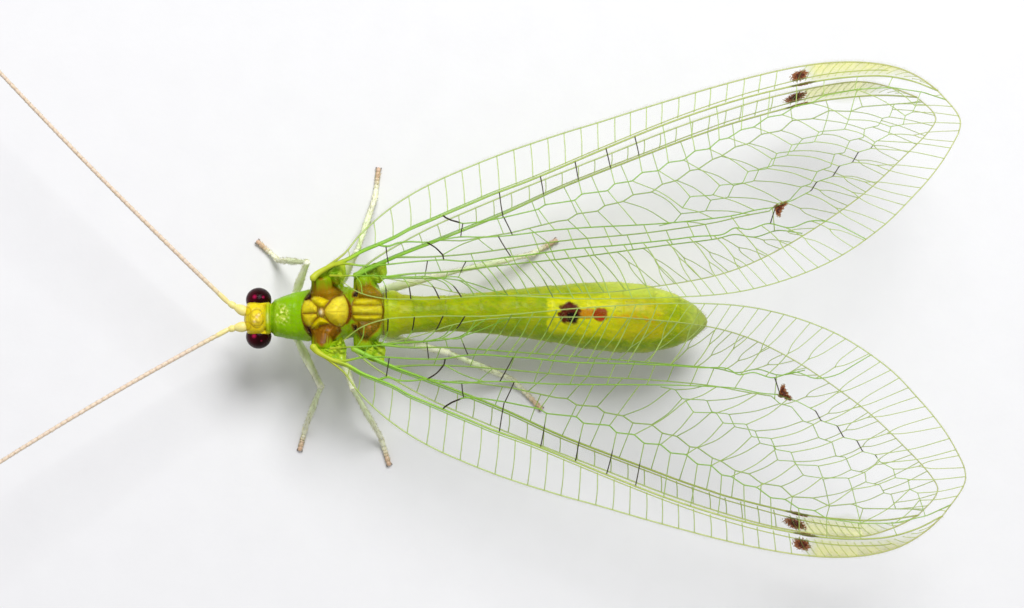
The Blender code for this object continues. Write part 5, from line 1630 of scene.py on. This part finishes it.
def antenna_material():
    look = Shader("antenna", Roughness=0.40, IOR=1.46)
    fine = look.noise(look.place(), 8000.0, 3.0)
    ring = look.read("ring")
    pale = look.mix(fine, tone(222, 200, 176), tone(236, 218, 198))
    band = look.mix(fine, tone(184, 150, 124), tone(200, 170, 144))
    colour = look.mix(ring, pale, band)
    base = look.mix(fine, tone(232, 216, 120), tone(244, 232, 156))
    look.set("Base Color", look.mix(look.between(look.read("tint"), 0.0, 1.0), base, colour))
    look.set("Subsurface Weight", 0.2)
    look.surface.inputs["Subsurface Radius"].default_value = (0.00012, 0.00010, 0.00005)
    look.bump(fine, 0.3, 0.01)
    return look.material


def make_antennae(hair):
    finish = antenna_material()
    dice = np.random.default_rng(3)
    for name, (root, heading, bend, socket, middle) in ANTENNAE.items():
        root, socket, middle = np.array(root), np.array(socket), np.array(middle)
        line = smooth_line(whip(root, heading, bend), per_span=20)
        segments, per = 104, 7
        line = resampled(line, segments * per + 1)
        share = np.linspace(0, 1, len(line))
        step = (np.arange(len(line)) % per) / per
        # Segments thin a little away from the head and swell towards their far ends.
        size = 0.068 - 0.026 * share
        size *= 0.86 + 0.16 * np.sin(np.clip(step, 0.0, 0.9) / 0.9 * math.pi * 0.62 + 0.25)
        size[-4:] *= np.array([0.95, 0.85, 0.65, 0.4])
        ring = np.clip(1 - np.abs(step - 0.05) / 0.12, 0, 1) * 0.9
        body, radii = rounded(line, size)
        tint = np.clip(np.linspace(0.4, 9, len(body)), 0, 1)
        values = {"ring": [np.concatenate([[0], ring, [0]])], "tint": [tint]}
        mesh = tubes([body], [radii], (0, 0, 1), 10, values)
        own(mesh, f"{name}_whip", [finish], [name])
        onward = root - middle
        parts = [
            ([socket, (socket + middle) / 2 + np.array([0, 0, 0.01]), middle],
             [0.11, 0.150, 0.165, 0.155, 0.130, 0.095], [0], [0, 0]),
            ([middle, middle + onward * 0.4, middle + onward * 0.75],
             [0.080, 0.105, 0.108, 0.090], [0], [0, 0]),
            ([middle + onward * 0.70, root, np.array(line[12])], [0.065, 0.080, 0.074], [0.3], [0, 0]),
        ]
        bodies, base_radii, tints, _ = limb(parts, rings=24)
        mesh = tubes(bodies, base_radii, (0, 0, 1), 20, {"tint": tints, "ring": np.zeros((3, 26))})
        own(mesh, f"{name}_base", [finish])
        count = 2600
        at = dice.uniform(0.2, len(line) - 1.2, count)
        low = at.astype(int)
        spot = line[low] + (line[low + 1] - line[low]) * (at - low)[:, None]
        ahead = line[low + 1] - line[low]
        ahead /= np.linalg.norm(ahead, axis=1, keepdims=True)
        angle = dice.uniform(0, 2 * math.pi, count)
        over = np.cross(ahead, [0, 0, 1.0])
        away = over * np.cos(angle)[:, None] + np.cross(ahead, over) * np.sin(angle)[:, None]
        roots = spot + away * (size[low] * 0.85)[:, None]
        places = np.column_stack([0.01 + 0.98 * at / len(line), 0.01 + 0.95 * angle / 6.3])
        hairs(f"{name}_hairs", roots, away * 0.8 + ahead * 0.75, dice.uniform(0.035, 0.06, count),
              0.0035, places, hair)


# Outer and inner palp: its joints, sideways from the middle line, and the sizes of a segment.
PALPS = [
    ([(-7.86, 0.16, 1.94), (-7.92, 0.27, 1.78), (-8.02, 0.33, 1.62), (-8.14, 0.34, 1.48),
      (-8.26, 0.32, 1.36)], [0.040, 0.055, 0.062, 0.045]),
    ([(-7.80, 0.08, 1.92), (-7.86, 0.12, 1.76), (-7.94, 0.14, 1.62), (-8.02, 0.13, 1.50)],
     [0.032, 0.045, 0.050, 0.036]),
]


def make_mouth(finish):
    """Two jaws that meet behind the lip, and the jointed palps on each side."""
    middle = -0.445
    sections = []
    for turn in (1, -1):
        y = middle + turn * 0.02
        sections.append(([(-7.86, middle + 0.26 * turn, 2.02), (-7.98, middle + 0.24 * turn, 1.80),
                          (-8.06, middle + 0.12 * turn, 1.68), (-8.08, y, 1.62)],
                         [0.09, 0.12, 0.10, 0.06, 0.02], [0.2, 0.6], [0.0, 0.1, 0.9]))
        for chain, sizes in PALPS:
            joints = [np.array([x, middle + y * turn, z]) for x, y, z in chain]
            for a, b in zip(joints, joints[1:]):
                sections.append(([a, (a + b) / 2, b], sizes, [0.45, 0.7], [0.0, 0.15]))
    bodies, radii, tints, inks = limb(sections, rings=16)
    mesh = tubes(bodies, radii, (1.0, 0.1, 0.1), 12, {"tint": tints, "ink": inks})
    own(mesh, "mouth", [finish])


# The room: base, floor, lights and camera

def base_material():
    look = Shader("white_base", Roughness=0.42)
    place = look.place()
    cloud = look.noise(place, 900.0)
    look.set("Base Color", look.mix(cloud, (0.800, 0.798, 0.818), (0.838, 0.836, 0.856)))
    look.bump(look.noise(place, 5200.0), 0.12, 0.02)
    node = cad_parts["stand_base"]
    node.data.materials.clear()
    node.data.materials.append(look.material)


def stage():
    bpy.ops.mesh.primitive_plane_add(size=4.0, location=(0, 0, -0.00002))
    floor = bpy.context.object
    floor.name = "floor"
    look = Shader("pale_floor", Roughness=0.6)
    look.set("Base Color", (0.800, 0.798, 0.818))
    floor.data.materials.append(look.material)

    light = bpy.data.lights.new("softbox", "AREA")
    light.shape = "DISK"
    light.size = 0.105
    light.energy = 0.48
    holder = bpy.data.objects.new("softbox", light)
    bpy.context.scene.collection.objects.link(holder)
    holder.location = (0.032, 0.132, 0.185)
    aim = Vector((0, 0, 0.004)) - Vector(holder.location)
    holder.rotation_euler = aim.to_track_quat("-Z", "Y").to_euler()
    world = bpy.data.worlds.new("studio")
    bpy.context.scene.world = world
    world.use_nodes = True
    sky = world.node_tree.nodes["Background"]
    sky.inputs["Color"].default_value = (1, 1, 1, 1)
    sky.inputs["Strength"].default_value = 0.45

    lens = bpy.data.cameras.new("camera")
    lens.lens = CAMERA_LENS
    lens.sensor_width = 36.0
    lens.clip_start = 0.001
    lens.clip_end = 10.0
    camera = bpy.data.objects.new("camera", lens)
    bpy.context.scene.collection.objects.link(camera)
    camera.location = (0, 0, (BASE_TOP + CAMERA_LEVEL + CAMERA_ABOVE) * MM)
    bpy.context.scene.camera = camera
    bpy.context.scene.view_settings.view_transform = "Standard"


base_material()
cuticle = body_material()
limbs = limb_material("limb")
pale_hair = hair_material("pale_hair", (0.44, 0.44, 0.12))
parts = make_skin(cuticle)
make_body_hairs(*parts, pale_hair)
make_eyes()
make_mouth(limbs)
make_legs(limbs, pale_hair)
make_antennae(pale_hair)
make_wings(pale_hair)
stage()
